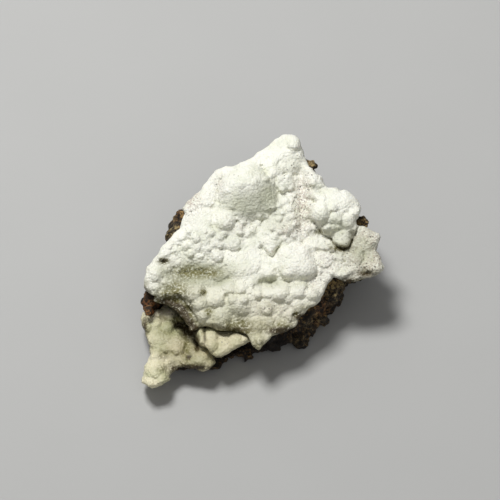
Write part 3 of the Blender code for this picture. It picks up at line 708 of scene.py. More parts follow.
# Grooves between the forms.
UPPER_CREASES = (
    Crease(((6.5, 27.0), (8.0, 26.5), (9.0, 26.8)), 0.35, 0.4),
    Crease(((0.0, 22.8), (0.8, 21.6), (1.1, 20.4), (1.8, 19.6)), 0.4, 0.7),
    Crease(((2.6, 19.6), (3.3, 18.2), (3.5, 16.6)), 0.6, 0.35),
    Crease(((4.3, 20.0), (5.3, 21.0), (6.5, 21.2), (8.0, 20.6), (9.0, 20.4)), 0.35, 0.5),
    Crease(((-10.9, 17.2), (-10.8, 15.0), (-10.2, 12.8), (-8.4, 12.0), (-6.2, 11.7)), 0.4, 0.4),
    Crease(((-9.4, 21.5), (-9.5, 19.8), (-10.4, 18.2)), 0.35, 0.5),
    Crease(((-14.2, 12.4), (-12.6, 12.4), (-11.4, 12.6)), 0.35, 0.3),
    Crease(((-12.0, 12.2), (-11.8, 10.0), (-12.0, 7.6)), 0.35, 0.4),
    Crease(((-17.8, 4.6), (-16.0, 4.3), (-13.0, 4.6)), 0.35, 0.4),
    Crease(((-8.4, 2.5), (-7.0, 1.9), (-5.4, 2.2)), 0.4, 0.6),
    Crease(((-24.4, -0.4), (-22.8, -0.6)), 0.4, 1.0),
    Crease(((-12.5, -1.5), (-10.4, -1.2), (-8.6, -1.6)), 0.4, 0.3),
    Crease(((-19.6, -3.0), (-17.6, -3.3)), 0.35, 0.3),
    Crease(((-21.0, -5.2), (-19.4, -5.7)), 0.4, 0.3),
    Crease(((0.2, 3.0), (0.8, 2.0), (1.5, 0.9), (2.6, 0.8), (3.2, 1.8), (4.0, 2.6)), 0.45, 1.1),
    Crease(((4.0, 2.6), (5.5, 3.1), (8.0, 4.1), (9.5, 4.5)), 0.45, 0.9),
    Crease(((2.8, 5.9), (4.7, 5.7)), 0.3, 0.4),
    Crease(((12.3, 0.4), (13.0, -2.0), (13.0, -4.0)), 0.35, 0.5),
    Crease(((3.0, -2.6), (3.6, -3.5), (4.0, -4.4)), 0.35, 0.5),
    Crease(((-1.6, -6.2), (-0.2, -5.4), (1.8, -5.3), (3.6, -5.4), (5.2, -5.8)), 0.55, 0.9),
    Crease(((-13.8, -6.2), (-11.6, -6.6), (-10.0, -5.4), (-8.2, -4.4)), 0.5, 0.6),
    Crease(((-9.5, -5.3), (-7.6, -5.2), (-5.8, -5.0)), 0.25, 0.4),
    Crease(((4.2, -11.6), (5.9, -11.4)), 0.3, 0.4),
    Crease(((-13.6, -15.4), (-11.5, -16.0)), 0.35, 0.6),
    Crease(((10.3, 14.6), (11.6, 14.6), (12.5, 14.0), (13.4, 13.6), (14.8, 14.2)), 0.35, 0.5),
    Crease(((24.5, 2.0), (24.4, -0.6)), 0.3, 0.4),
    Crease(((13.0, 1.9), (15.2, 2.1), (17.0, 1.3)), 0.35, 0.5),
)
# Narrow crevices under the right cluster, cut in and darkened with painted shade.
UPPER_SEAMS = (
    Crease(((12.2, 9.4), (13.0, 8.2), (14.2, 6.6), (15.6, 5.5), (16.6, 4.9)), 0.28, 0.9),
    Crease(
        ((16.6, 4.9), (17.2, 3.8), (18.2, 3.0), (19.4, 2.6), (20.8, 3.2), (21.7, 4.8)), 0.3, 1.5
    ),
    Crease(((21.7, 4.8), (22.6, 6.6), (23.2, 8.2)), 0.25, 1.1),
    Crease(((19.7, 2.6), (19.9, -0.5)), 0.22, 0.8),
)
# Dimples and holes.
UPPER_DENTS = swells(
    (4.1, 23.4, 0.5, 0.4, -0.4), (1.4, 24.5, 0.5, 0.4, -0.3), (5.8, 25.0, 0.5, 0.4, -0.3),
    (11.4, 17.6, 0.6, 0.4, -0.5), (17.0, 12.2, 0.4, 0.4, -0.3), (18.4, 12.3, 0.4, 0.4, -0.3),
    (-0.3, -2.2, 0.7, 0.7, -0.3), (0.8, -6.4, 1.2, 1.0, -0.7), (25.3, -3.2, 0.6, 0.5, -1.6),
    (-9.4, -8.6, 1.2, 0.7, -0.9), (8.0, -12.9, 0.6, 0.5, -1.0), (7.2, 6.2, 0.6, 0.5, -0.5),
    (-14.0, -7.9, 0.7, 0.6, -0.6), (12.6, 17.2, 0.6, 0.4, -0.3), (14.0, 17.3, 0.5, 0.3, -0.3),
)

# Outlines of the crust on the ledge: the pointed lobe with the plate beside it, and the slipper.
LOBE_OUTLINE = (
    (-28.8, -12.4), (-27.8, -12.3), (-26.8, -12.5), (-25.9, -12.0), (-24.6, -11.6), (-23.4, -10.6),
    (-21.9, -10.4), (-20.4, -11.4), (-19.0, -12.8), (-18.4, -14.0), (-18.9, -15.0), (-20.4, -15.3),
    (-21.0, -16.2), (-19.6, -17.9), (-18.0, -19.3), (-16.4, -19.9), (-14.2, -20.6), (-12.6, -21.8),
    (-11.6, -23.2), (-11.2, -24.5), (-12.0, -25.5), (-13.0, -26.3), (-14.2, -26.5), (-16.0, -25.9),
    (-18.0, -25.7), (-20.0, -25.6), (-21.5, -27.0), (-22.1, -27.8), (-22.0, -28.6), (-23.0, -29.3),
    (-25.0, -30.3), (-26.0, -30.7), (-27.4, -30.0), (-28.6, -29.2), (-28.8, -28.0), (-28.1, -26.8),
    (-27.9, -25.5), (-27.2, -24.0), (-26.6, -22.5), (-26.7, -21.5), (-27.2, -20.0), (-27.4, -19.2),
    (-28.0, -18.0), (-28.3, -16.5), (-29.0, -14.5), (-28.9, -13.2),
)
SLIPPER_OUTLINE = (
    (-2.8, -19.4), (-3.6, -20.2), (-5.5, -20.8), (-7.0, -21.6), (-8.2, -22.4), (-9.6, -23.1),
    (-11.0, -23.3), (-12.1, -22.3), (-13.4, -20.8), (-15.0, -20.4), (-15.8, -19.0), (-15.7, -17.0),
    (-14.8, -15.9), (-13.6, -16.2), (-12.2, -15.9), (-11.2, -16.2), (-10.4, -16.9), (-7.0, -16.9),
    (-4.4, -17.1), (-3.0, -18.0),
)
SLIPPER_RISE = 3.9
LOBE_TOP = 0.4
# The apron of dirty growth that lines the crevice beside the plate.
APRON_OUTLINE = (
    (-22.0, -15.0), (-20.8, -14.6), (-18.6, -14.2), (-17.9, -15.9), (-15.6, -16.9), (-15.2, -18.8),
    (-15.6, -20.4), (-18.0, -20.4), (-21.0, -18.0),
)
APRON_TOP = -1.7
# Broad forms of the crust on the ledge, the forms on them, and what parts and dimples them.
LEDGE_DOMES = (
    Lobe(-24.2, -18.6, 3.4, 3.6, 0.6, block=3.6), Lobe(-21.0, -20.0, 3.3, 2.8, 0.7, lip=0.3),
    Lobe(-25.6, -26.6, 2.9, 3.8, 0.8, block=3.0, lip=0.2),
    Lobe(-15.2, -22.9, 3.5, 3.0, 0.5, block=3.2),
    Lobe(-7.2, -19.9, 4.6, 2.2, 0.8, turn=10.0, block=3.0),
)
LEDGE_LOBES = (
    Lobe(-27.6, -15.2, 1.2, 1.5, 0.4), Lobe(-20.4, -23.2, 2.1, 1.2, 0.5, turn=12.0),
    Lobe(-24.6, -22.9, 1.9, 1.3, 0.4), Lobe(-13.8, -24.6, 1.9, 1.4, 0.4),
    Lobe(-17.4, -24.2, 1.8, 1.3, 0.4), Lobe(-25.6, -14.6, 1.6, 1.2, 0.4),
    Lobe(-25.0, -28.6, 2.0, 1.6, 0.3), Lobe(-23.8, -15.9, 2.0, 1.2, 0.3),
    Lobe(-4.8, -19.2, 1.4, 1.1, 0.4), Lobe(-9.6, -21.6, 1.7, 1.3, 0.4),
    Lobe(-26.0, -19.4, 1.5, 2.0, 0.3), Lobe(-22.3, -20.8, 1.6, 1.5, 0.3),
)
LEDGE_CREASES = (
    Crease(((-22.0, -24.2), (-20.6, -22.2), (-18.5, -21.9)), 0.6, 0.4),
    Crease(((-10.7, -19.3), (-9.8, -20.3), (-8.6, -20.0)), 0.3, 0.5),
    Crease(((-25.4, -14.2), (-23.6, -14.6), (-22.0, -15.2), (-20.6, -15.6)), 0.5, 0.4),
    Crease(((-18.8, -20.0), (-18.2, -22.0), (-18.9, -25.2)), 0.5, 0.35),
)
# Crevices beside the plate and the slipper, cut in and darkened with painted shade.
LEDGE_SEAMS = (
    Crease(((-20.4, -15.4), (-17.6, -17.2), (-15.7, -19.0), (-15.4, -20.8)), 0.4, 1.2),
    Crease(((-13.8, -16.4), (-13.6, -18.6), (-13.0, -20.6)), 0.24, 0.7),
)
LEDGE_LUMPS = seated(
    (-22.1, -12.8, 2.1, 1.3), (-24.9, -12.7, 1.4, 0.9), (-19.6, -14.1, 1.1, 0.8),
    (-12.1, -18.2, 2.2, 1.6), (-12.0, -20.2, 2.0, 1.3), (-14.7, -17.6, 1.1, 0.8),
    (-14.7, -19.2, 1.1, 0.8), (-24.4, -18.6, 4.2, 0.9), (-20.6, -19.8, 3.4, 1.0),
    (-25.6, -22.6, 2.4, 0.8), (-25.4, -26.4, 3.0, 1.0), (-16.6, -21.8, 2.0, 0.8),
    (-14.6, -23.6, 2.4, 1.0), (-18.4, -24.0, 1.9, 0.8), (-21.6, -23.4, 1.8, 0.8),
    (-24.0, -28.2, 1.8, 0.7), (-12.9, -25.0, 1.3, 0.6), (-27.3, -16.0, 1.4, 0.7),
    (-25.4, -15.6, 1.6, 0.6), (-22.6, -16.2, 1.6, 0.6), (-19.8, -17.6, 1.3, 0.6),
    (-23.3, -21.0, 1.3, 0.6), (-17.4, -19.8, 1.2, 0.6), (-19.6, -22.0, 1.0, 0.5),
    (-27.0, -19.2, 1.2, 0.5), (-26.6, -29.0, 1.3, 0.5), (-16.2, -25.2, 1.1, 0.5),
    (-6.0, -19.2, 2.2, 0.7), (-8.6, -20.4, 2.4, 0.8), (-9.8, -18.4, 1.2, 0.5),
    (-4.2, -18.8, 1.1, 0.5), (-10.8, -22.2, 1.3, 0.6), (-16.7, -15.7, 1.0, 0.8),
    (-20.4, -21.2, 1.6, 0.5), (-22.6, -18.8, 1.4, 0.4), (-24.6, -20.8, 1.2, 0.4),
)
LEDGE_DENTS = swells(
    (-15.8, -21.3, 0.6, 0.5, -0.6), (-17.6, -23.2, 0.5, 0.5, -0.5), (-16.0, -25.0, 0.7, 0.4, -0.5),
)

# Rim of the rock under the upper crust, in U and V, with the foot under each point in world X
# and Y.
ROCK_RIM = (
    (6.5, 29.0, 5.5, 29.0), (9.2, 27.0, 8.8, 27.4), (12.2, 24.6, 11.4, 25.0),
    (13.1, 21.6, 12.8, 22.0), (15.0, 17.9, 14.3, 19.5), (18.0, 16.0, 17.0, 17.5),
    (21.0, 14.5, 19.3, 15.4), (22.7, 12.2, 21.0, 13.0), (24.8, 10.3, 21.8, 10.8),
    (25.2, 8.6, 22.2, 9.6), (27.0, 5.6, 22.4, 8.8), (26.4, 2.8, 22.4, 8.0), (27.6, -0.4, 22.5, 7.2),
    (27.8, -2.3, 22.2, 6.2), (25.0, -3.6, 21.8, 5.2), (22.0, -4.8, 21.0, 3.8),
    (19.4, -5.4, 20.2, 2.2), (17.4, -6.0, 19.4, -1.2), (15.2, -7.2, 17.4, -3.4),
    (13.4, -9.8, 15.6, -6.6), (10.6, -11.8, 14.0, -8.8), (8.2, -14.4, 11.6, -11.4),
    (5.0, -16.2, 8.2, -13.6), (2.0, -17.4, 4.8, -14.4), (-1.2, -18.6, 1.0, -15.8),
    (-4.5, -20.4, -2.6, -18.2), (-8.0, -22.4, -6.8, -19.8), (-11.0, -24.6, -10.0, -21.0),
    (-13.0, -26.0, -12.2, -22.6), (-16.4, -26.5, -16.2, -22.6), (-20.0, -26.6, -19.6, -22.8),
    (-22.6, -27.6, -22.0, -22.0), (-25.6, -28.4, -24.0, -20.6), (-27.0, -25.8, -24.8, -18.4),
    (-25.9, -22.6, -24.9, -15.8), (-27.2, -18.0, -25.2, -12.6), (-28.2, -14.4, -25.8, -9.6),
    (-28.6, -11.2, -26.2, -6.6), (-28.2, -8.4, -26.0, -3.8), (-27.2, -5.5, -25.2, -0.8),
    (-26.5, -2.8, -24.2, 2.0), (-24.9, -0.2, -23.0, 4.2), (-23.2, 2.2, -21.8, 6.5),
    (-22.7, 4.7, -21.2, 9.0), (-22.8, 6.5, -21.0, 11.2), (-22.0, 8.7, -20.2, 13.0),
    (-20.6, 11.2, -18.9, 15.2), (-18.6, 13.1, -17.0, 17.2), (-15.8, 15.3, -14.6, 19.2),
    (-13.2, 18.0, -12.2, 21.4), (-10.5, 20.6, -9.6, 23.6), (-7.0, 21.2, -6.4, 24.4),
    (-3.0, 22.9, -2.8, 25.6), (0.5, 25.2, 0.3, 27.2), (3.6, 27.6, 2.9, 28.6),
)

# Knobs on the rock's sides: U and V as seen from the front, height above the floor and radius.
ROCK_KNOBS = (
    (17.9, -9.6, 4.6, 2.2), (18.4, -7.4, 7.2, 1.8), (16.2, -8.6, 7.6, 2.0), (14.0, -14.6, 3.2, 2.0),
    (11.2, -16.6, 2.6, 2.0), (9.2, -19.2, 1.6, 1.9), (10.4, -14.0, 6.2, 2.0),
    (5.4, -18.4, 3.6, 2.0), (1.6, -20.0, 3.2, 1.8), (-3.6, -22.8, 1.8, 2.0),
    (-27.0, -10.6, 7.0, 2.0), (-26.6, -9.0, 5.0, 2.2), (24.0, 9.2, 13.0, 1.5),
    (12.0, 23.0, 16.0, 1.6), (-21.2, 8.6, 11.5, 1.9), (-21.8, 5.8, 9.8, 1.8),
    (-20.0, 11.0, 12.8, 1.8), (-21.7, 7.2, 10.6, 1.8), (-25.6, -10.4, 6.6, 2.0),
    (-27.2, -12.2, 6.4, 1.5),
)
# Knobs on the hidden sides and pits all round, in world millimetres with their radius.
HIDDEN_KNOBS = (
    (8.0, 31.0, 10.0, 3.2), (-2.0, 28.0, 6.0, 3.4), (-12.0, 22.5, 9.0, 3.0), (16.5, 20.0, 6.0, 3.2),
    (22.5, 12.0, 5.0, 2.6), (-23.6, 4.0, 5.0, 2.8),
)
ROCK_PITS = (
    (2.6, 30.0, 12.0, 3.0), (12.4, 25.4, 8.0, 2.8), (-7.4, 25.6, 11.0, 2.8),
    (-16.6, 18.6, 4.4, 2.6), (20.6, 15.6, 10.0, 2.6), (-22.4, 8.8, 4.0, 2.4),
    (14.6, -6.8, 5.0, 2.2), (7.8, -14.4, 3.6, 2.0), (-26.4, -5.8, 3.4, 2.2), (22.6, 4.8, 6.4, 2.4),
    (4.0, -16.4, 6.4, 1.8), (-14.6, -24.0, 1.0, 1.6), (6.0, 6.0, -1.2, 2.6),
    (-9.0, -6.0, -1.4, 3.0), (-6.0, 18.0, -1.6, 3.2),
)

# The hollow over the ledge, in U and V: its floor, then the same corners at its top, where the
# inner side reaches the rim of the upper crust.
LEDGE_FLOOR = (
    (-26.4, -13.4), (-25.9, -12.0), (-24.8, -11.2), (-22.6, -9.9), (-20.0, -9.8), (-18.9, -12.2),
    (-17.7, -15.4), (-15.2, -16.0), (-9.6, -16.7), (-4.0, -17.2), (-1.6, -19.4), (-1.0, -32.0),
    (-34.0, -34.0), (-34.0, -12.0), (-29.0, -12.0), (-27.4, -13.7),
)
LEDGE_BROW = (
    (-26.4, -13.4), (-25.9, -11.4), (-25.2, -10.0), (-22.6, -8.9), (-19.4, -8.2), (-17.4, -10.6),
    (-15.8, -13.8), (-12.6, -15.0), (-8.4, -15.6), (-3.8, -16.4), (-1.6, -19.2), (-1.0, -32.0),
    (-34.0, -34.0), (-34.0, -12.0), (-29.0, -12.0), (-27.4, -13.7),
)
BROW_HEIGHT = 6.5

# Where the upper crust is grainy above its usual share, or smooth where the height is below zero.
UPPER_GRAIN = swells(
    (7.0, 28.5, 3.5, 3.0, -0.5), (2.0, 25.0, 5.0, 2.6, -0.4), (-3.5, 17.5, 8.0, 5.0, -0.6),
    (8.2, -1.0, 5.4, 4.8, -0.45), (-5.0, -1.0, 4.5, 4.0, -0.4), (9.8, 12.0, 2.6, 8.0, 0.3),
    (25.0, 2.0, 4.0, 6.0, 0.3), (-12.5, 3.0, 5.0, 5.0, 0.35), (-16.5, -3.6, 6.0, 3.0, 0.3),
    (-17.0, 15.0, 2.0, 4.0, 0.3), (-8.7, 9.6, 3.0, 2.6, 0.3), (19.0, 12.0, 5.0, 6.0, -0.5),
    (-2.0, 8.0, 5.0, 2.4, 0.3), (-14.2, 10.0, 2.8, 3.0, -0.4), (0.0, -10.0, 15.0, 5.0, -0.25),
    (-18.8, -13.4, 3.0, 3.5, 0.5), (-22.6, -10.0, 2.6, 1.4, 0.4),
)
# How strong each tint is over the upper crust; the shade tint is all painted shade, and the cream
# and grime tints are partly painted shade.
UPPER_TINTS = {
    Layer.STAIN: swells(
        (-12.8, -12.4, 1.0, 0.9, 0.8), (-5.6, -15.6, 3.6, 1.7, 0.75), (14.0, 6.8, 1.8, 0.8, 0.6),
        (18.6, 2.8, 2.6, 1.0, 0.7), (-14.0, -7.7, 0.8, 0.8, 0.9), (-23.6, -0.2, 1.4, 0.8, 0.9),
        (8.0, -12.9, 0.8, 0.8, 0.9), (4.5, -16.6, 4.0, 0.9, 0.6), (25.0, -3.0, 2.0, 0.9, 0.5),
        (-17.6, -2.8, 5.0, 1.8, 0.7), (-20.8, -6.4, 3.2, 1.5, 0.6), (-12.0, -3.2, 3.2, 1.4, 0.5),
        (-17.9, -14.0, 1.5, 3.6, 1.2), (-22.0, -10.2, 3.2, 1.3, 1.2), (-7.5, -17.3, 4.5, 0.9, 1.0),
        (-21.5, -8.0, 5.0, 0.9, 0.5), (22.0, -4.9, 4.5, 0.6, 0.6), (-0.8, -20.0, 1.8, 1.6, 0.5),
        (5.0, -15.2, 3.4, 1.0, 0.45), (10.6, -11.4, 2.4, 0.9, 0.4), (-28.2, -6.0, 0.9, 1.4, 0.4),
    ),
    # Painted shade on the fronts of the domes, in hollows and in the grainy zones.
    Layer.SHADE: swells(
        (-3.4, 13.4, 5.6, 3.2, 1.3), (1.6, 15.6, 2.6, 4.4, 1.0), (-10.5, 5.0, 5.5, 3.6, 0.35),
        (-15.0, -3.2, 6.0, 2.3, 2.2), (-10.8, -5.2, 3.0, 1.4, 0.9), (-8.5, -12.5, 4.5, 2.8, 0.5),
        (3.5, 8.4, 5.5, 1.8, 0.35), (7.2, 23.0, 2.8, 2.6, 0.5), (18.8, 7.6, 3.8, 2.8, 0.6),
        (14.2, 10.0, 2.2, 1.6, 0.5), (-21.0, -6.8, 3.5, 1.6, 0.5), (1.6, -5.2, 3.4, 1.3, 1.0),
        (9.0, -5.8, 4.0, 0.9, 0.4), (24.0, 2.0, 4.5, 5.0, 0.9),
    ),
    # Warmer cream with painted shade, strongest over the lower part.
    Layer.CREAM_AND_SHADE: swells(
        (-7.0, -20.0, 26.0, 12.0, 1.15), (-0.8, -19.0, 2.5, 3.0, 0.8), (25.0, 1.0, 4.5, 6.0, 0.4),
        (-17.0, -6.0, 6.0, 4.0, 0.35),
    ),
    Layer.BLUSH: swells(
        (9.8, 13.0, 2.4, 7.5, 0.9), (25.0, 2.0, 4.0, 5.5, 1.7), (-17.0, 15.0, 2.0, 4.0, 0.9),
        (15.5, 0.0, 4.0, 4.0, 0.45), (3.5, -12.0, 7.0, 3.0, 0.4), (-10.6, 18.2, 1.6, 2.6, 0.4),
        (5.8, 7.6, 2.6, 1.8, 0.6), (13.0, -6.0, 3.0, 2.4, 0.4), (-5.0, 8.0, 3.0, 1.6, 0.4),
    ),
    # Dark grime and brown specks, with painted shade in the crevices under the rims.
    Layer.GRIME_AND_SHADE: swells(
        (-20.6, -11.4, 1.6, 0.9, 2.2), (-18.8, -13.4, 1.1, 1.4, 2.2), (-17.2, -15.7, 1.0, 1.3, 2.2),
        (-15.9, -16.7, 1.1, 0.8, 1.6), (-23.0, -10.0, 1.8, 0.7, 1.4), (-6.0, -16.6, 3.8, 0.9, 0.6),
        (4.6, -16.9, 3.4, 0.9, 1.3), (9.4, -13.6, 2.0, 0.9, 1.1), (24.8, -3.4, 2.8, 0.9, 0.8),
        (20.6, -5.0, 1.8, 0.9, 0.9), (-23.6, -0.2, 1.1, 0.6, 0.8), (-11.4, -15.9, 1.6, 0.8, 0.5),
        (-27.6, -7.2, 1.2, 1.0, 0.5), (18.8, 2.6, 2.2, 0.6, 0.5),
    ),
    Layer.SOOT: tuple(
        Swell(u, v, SOOT_REACH * size, SOOT_REACH * size, SOOT_SHARE)
        for u, v, size in (
            (8.8, 24.1, 0.4), (5.6, 20.3, 0.3), (11.9, 19.8, 0.35), (9.5, 9.0, 0.4),
            (9.3, 11.6, 0.3), (9.7, 14.2, 0.3), (6.9, 22.4, 0.3), (9.0, 6.6, 0.3), (-0.2, 3.4, 0.3),
            (-7.4, 0.8, 0.3), (-3.6, -5.2, 0.3), (12.8, 8.0, 0.35), (2.2, 12.6, 0.3),
            (-6.6, 20.8, 0.3), (10.9, 17.4, 0.3), (15.8, 4.3, 0.35), (3.3, -3.6, 0.3),
            (-9.4, 13.4, 0.25),
        )
    ),
}
# The same for the crust on the ledge, and its grain.
LEDGE_TINTS = {
    Layer.STAIN: swells(
        (-15.6, -21.3, 0.8, 0.7, 0.8), (-17.6, -23.4, 0.8, 0.7, 0.7), (-22.6, -22.2, 1.8, 0.8, 0.5),
        (-23.0, -17.2, 2.4, 0.8, 0.35), (-21.2, -14.6, 1.2, 0.7, 0.6),
        (-26.4, -20.6, 1.0, 1.6, 0.35), (-24.0, -26.0, 1.4, 1.0, 0.4),
        (-18.0, -21.0, 1.2, 2.4, 0.6), (-17.0, -25.4, 4.0, 0.8, 0.7), (-27.9, -16.0, 0.7, 2.2, 0.8),
        (-20.0, -13.6, 1.3, 1.6, 0.5), (-18.4, -15.6, 1.0, 3.0, 0.8),
    ),
    # Painted shade on the ledge crust.
    Layer.SHADE: swells(
        (-20.4, -16.2, 3.0, 2.4, 0.9), (-15.5, -24.0, 3.0, 2.0, 0.6), (-24.5, -18.0, 3.0, 3.4, 0.4),
    ),
    # Warmer cream with painted shade over the ledge.
    Layer.CREAM_AND_SHADE: swells(
        (-16.0, -24.0, 4.5, 3.4, 1.1), (-21.0, -18.5, 4.5, 4.5, 0.8), (-8.0, -20.0, 6.0, 3.0, 0.4),
    ),
    Layer.BLUSH: swells((-21.8, -12.3, 1.8, 1.5, 0.9), (-24.9, -12.6, 1.4, 1.2, 0.6)),
    # Dark grime, with painted shade in the crevice beside the plate.
    Layer.GRIME_AND_SHADE: swells(
        (-20.0, -15.6, 1.5, 0.9, 1.1), (-17.6, -17.2, 1.6, 1.1, 1.3), (-15.7, -19.4, 0.8, 1.2, 1.1),
        (-16.6, -25.6, 4.4, 0.7, 1.0), (-21.4, -26.4, 0.9, 1.4, 0.6), (-28.2, -15.8, 0.7, 2.4, 0.8),
        (-17.5, -23.2, 0.5, 0.5, 1.2), (-15.5, -21.2, 0.5, 0.6, 1.2), (-7.0, -17.5, 4.0, 0.5, 0.6),
        (-13.7, -18.6, 0.3, 1.8, 0.7), (-9.4, -23.2, 2.4, 0.5, 0.5), (-23.4, -23.2, 1.6, 0.5, 0.4),
    ),
    Layer.SOOT: swells(
        (-18.0, -22.5, 3.0, 2.6, 0.6), (-9.6, -19.6, 2.4, 1.2, 0.5), (-24.6, -13.6, 2.6, 1.4, 0.5),
    ),
}
LEDGE_GRAIN = swells((-21.0, -19.0, 4.0, 3.0, -0.6), (-9.0, -20.0, 6.0, 2.5, -0.6))

# Dust, rust and painted shade on the rock, in U and V as seen from the front; the shade darkens it
# low down under the crusts.
ROCK_TINTS = {
    Layer.DUST: swells(
        (17.0, -8.3, 1.7, 2.4, 0.9), (14.3, -14.5, 1.6, 1.4, 0.9), (11.0, -15.7, 1.4, 1.1, 0.8),
        (9.0, -19.5, 1.5, 1.3, 0.9), (-22.0, 8.0, 2.0, 4.2, 0.8), (11.7, 23.0, 1.8, 2.4, 0.9),
        (24.0, 9.2, 1.8, 1.5, 0.5), (20.0, -6.4, 3.4, 1.8, 0.7), (-18.4, -13.5, 1.8, 4.0, 0.4),
        (12.4, -13.4, 2.2, 2.2, 0.5), (-22.0, -9.6, 3.0, 0.9, 0.7), (-8.0, -17.2, 5.0, 0.9, 0.7),
    ),
    Layer.RUST: swells(
        (-26.6, -11.0, 2.6, 3.4, 1.0), (-28.0, -17.0, 1.2, 3.4, 0.9), (13.6, -10.8, 2.4, 1.6, 0.4),
        (14.0, -12.8, 1.5, 1.1, 0.6), (13.6, -15.0, 1.6, 1.0, 0.5), (-20.8, 11.0, 1.4, 2.0, 0.4),
        (-8.0, -25.4, 3.0, 0.8, 0.5),
    ),
    # Painted shade low down under the crusts.
    Layer.UNDER_SHADE: swells(
        (3.0, -20.5, 7.0, 3.0, 1.0), (-10.0, -25.5, 7.0, 2.0, 0.7), (20.0, -8.5, 3.0, 3.0, 0.5),
    ),
}


class Wire:
    """A value in a material, which Python's operators combine through Math nodes."""

    def __init__(self, bench: "Bench", socket: bpy.types.NodeSocket) -> None:
        """Wrap an output socket."""
        self.bench = bench
        self.socket = socket

    def _join(self, operation: str, first: Number, second: Number) -> "Wire":
        """Combine two values with a Math node."""
        node = self.bench.node("ShaderNodeMath", {0: first, 1: second}, operation=operation)
        return Wire(self.bench, node.outputs[0])

    def __add__(self, other: Number) -> "Wire":
        """Sum."""
        return self._join("ADD", self, other)

    __radd__ = __add__

    def __sub__(self, other: Number) -> "Wire":
        """Difference."""
        return self._join("SUBTRACT", self, other)

    def __rsub__(self, other: Number) -> "Wire":
        """Difference, taken the other way."""
        return self._join("SUBTRACT", other, self)

    def __mul__(self, other: Number) -> "Wire":
        """Product."""
        return self._join("MULTIPLY", self, other)

    __rmul__ = __mul__

    def at_most(self, other: Number) -> "Wire":
        """The smaller of two values."""
        return self._join("MINIMUM", self, other)

    def eased(self, low: float, high: float) -> "Wire":
        """Rise smoothly from 0 at one value to 1 at another."""
        node = self.bench.node(
            "ShaderNodeMapRange",
            {"Value": self, "From Min": low, "From Max": high},
            interpolation_type="SMOOTHSTEP",
        )
        return Wire(self.bench, node.outputs["Result"])


class Bench:
    """The node tree of one material."""

    def __init__(self, name: str) -> None:
        """Start a material with its Principled shader.

        Args:
            name: The material's name.
        """
        self.material = bpy.data.materials.new(name)
        self.material.use_nodes = True
        self.tree = self.material.node_tree
        self.shader = self.tree.nodes["Principled BSDF"]
        self.places = Wire(self, self.node("ShaderNodeTexCoord", {}).outputs["Object"])

    def plug(self, socket: bpy.types.NodeSocket, value: Any) -> None:
        """Link a wire to a socket, or set the socket's own value.

        Args:
            socket: The input socket.
            value: A wire, a number or a colour.
        """
        if isinstance(value, Wire):
            self.tree.links.new(value.socket, socket)
        elif isinstance(value, tuple) and socket.type == "RGBA":
            socket.default_value = (*value, 1.0)
        else:
            socket.default_value = value

    def node(self, kind: str, values: dict[Any, Any], **settings: Any) -> bpy.types.Node:
        """Add a node.

        Args:
            kind: The node's type.
            values: Values or wires for its sockets, by name or number.
            **settings: Its own settings, set before the sockets. A ramp's are its stops.

        Returns:
            The node.
        """
        node = self.tree.nodes.new(kind)
        for stop, (position, colour) in enumerate(settings.pop("stops", ())):
            points = node.color_ramp.elements
            point = points[stop] if stop < len(points) else points.new(position)
            point.position = position
            point.color = (*colour, 1.0)
        for key, value in settings.items():
            setattr(node, key, value)
        for key, value in values.items():
            self.plug(node.inputs[key], value)
        return node

    def noise(self, size: float, detail: float, roughness: float = 0.55) -> Wire:
        """Cloudy variation.

        Args:
            size: Size of its features, in millimetres.
            detail: How many finer layers it has.
            roughness: How strong the finer layers are.

        Returns:
            A value from 0 to 1, about a half on average.
        """
        scale = 1 / (size * MM)
        values = {"Vector": self.places, "Scale": scale, "Detail": detail, "Roughness": roughness}
        return Wire(self, self.node("ShaderNodeTexNoise", values).outputs["Fac"])

    def cells(self, size: float) -> Wire:
        """Distance to the nearest of points spread about a size in millimetres apart."""
        values = {"Vector": self.places, "Scale": 1 / (size * MM)}
        return Wire(self, self.node("ShaderNodeTexVoronoi", values).outputs["Distance"])

    def painted(self, layer: Layer) -> Wire:
        """A number kept on the mesh's points."""
        node = self.node("ShaderNodeAttribute", {}, attribute_name=layer.value)
        return Wire(self, node.outputs["Fac"])

    def blend(self, share: Number, first: Any, second: Any) -> Wire:
        """Mix two colours."""
        node = self.node("ShaderNodeMix", {0: share, 6: first, 7: second}, data_type="RGBA")
        return Wire(self, node.outputs[2])

    def ramp(self, value: Wire, stops: Sequence[tuple[float, Colour]]) -> Wire:
        """Colours along a value."""
        node = self.node("ShaderNodeValToRGB", {"Fac": value}, stops=stops)
        return Wire(self, node.outputs["Color"])

    def bump(self, height: Wire, depth: float) -> None:
        """Press a height from 0 to 1 into the surface, with its depth in millimetres."""
        node = self.node("ShaderNodeBump", {"Height": height, "Distance": depth * MM})
        self.plug(self.shader.inputs["Normal"], Wire(self, node.outputs["Normal"]))

    def dress(self, **values: Any) -> bpy.types.Material:
        """Give the shader its values.

        Args:
            **values: Values or wires by the socket's name, with _ for a space.

        Returns:
            The finished material.
        """
        for name, value in values.items():
            self.plug(self.shader.inputs[name.replace("_", " ")], value)
        return self.material


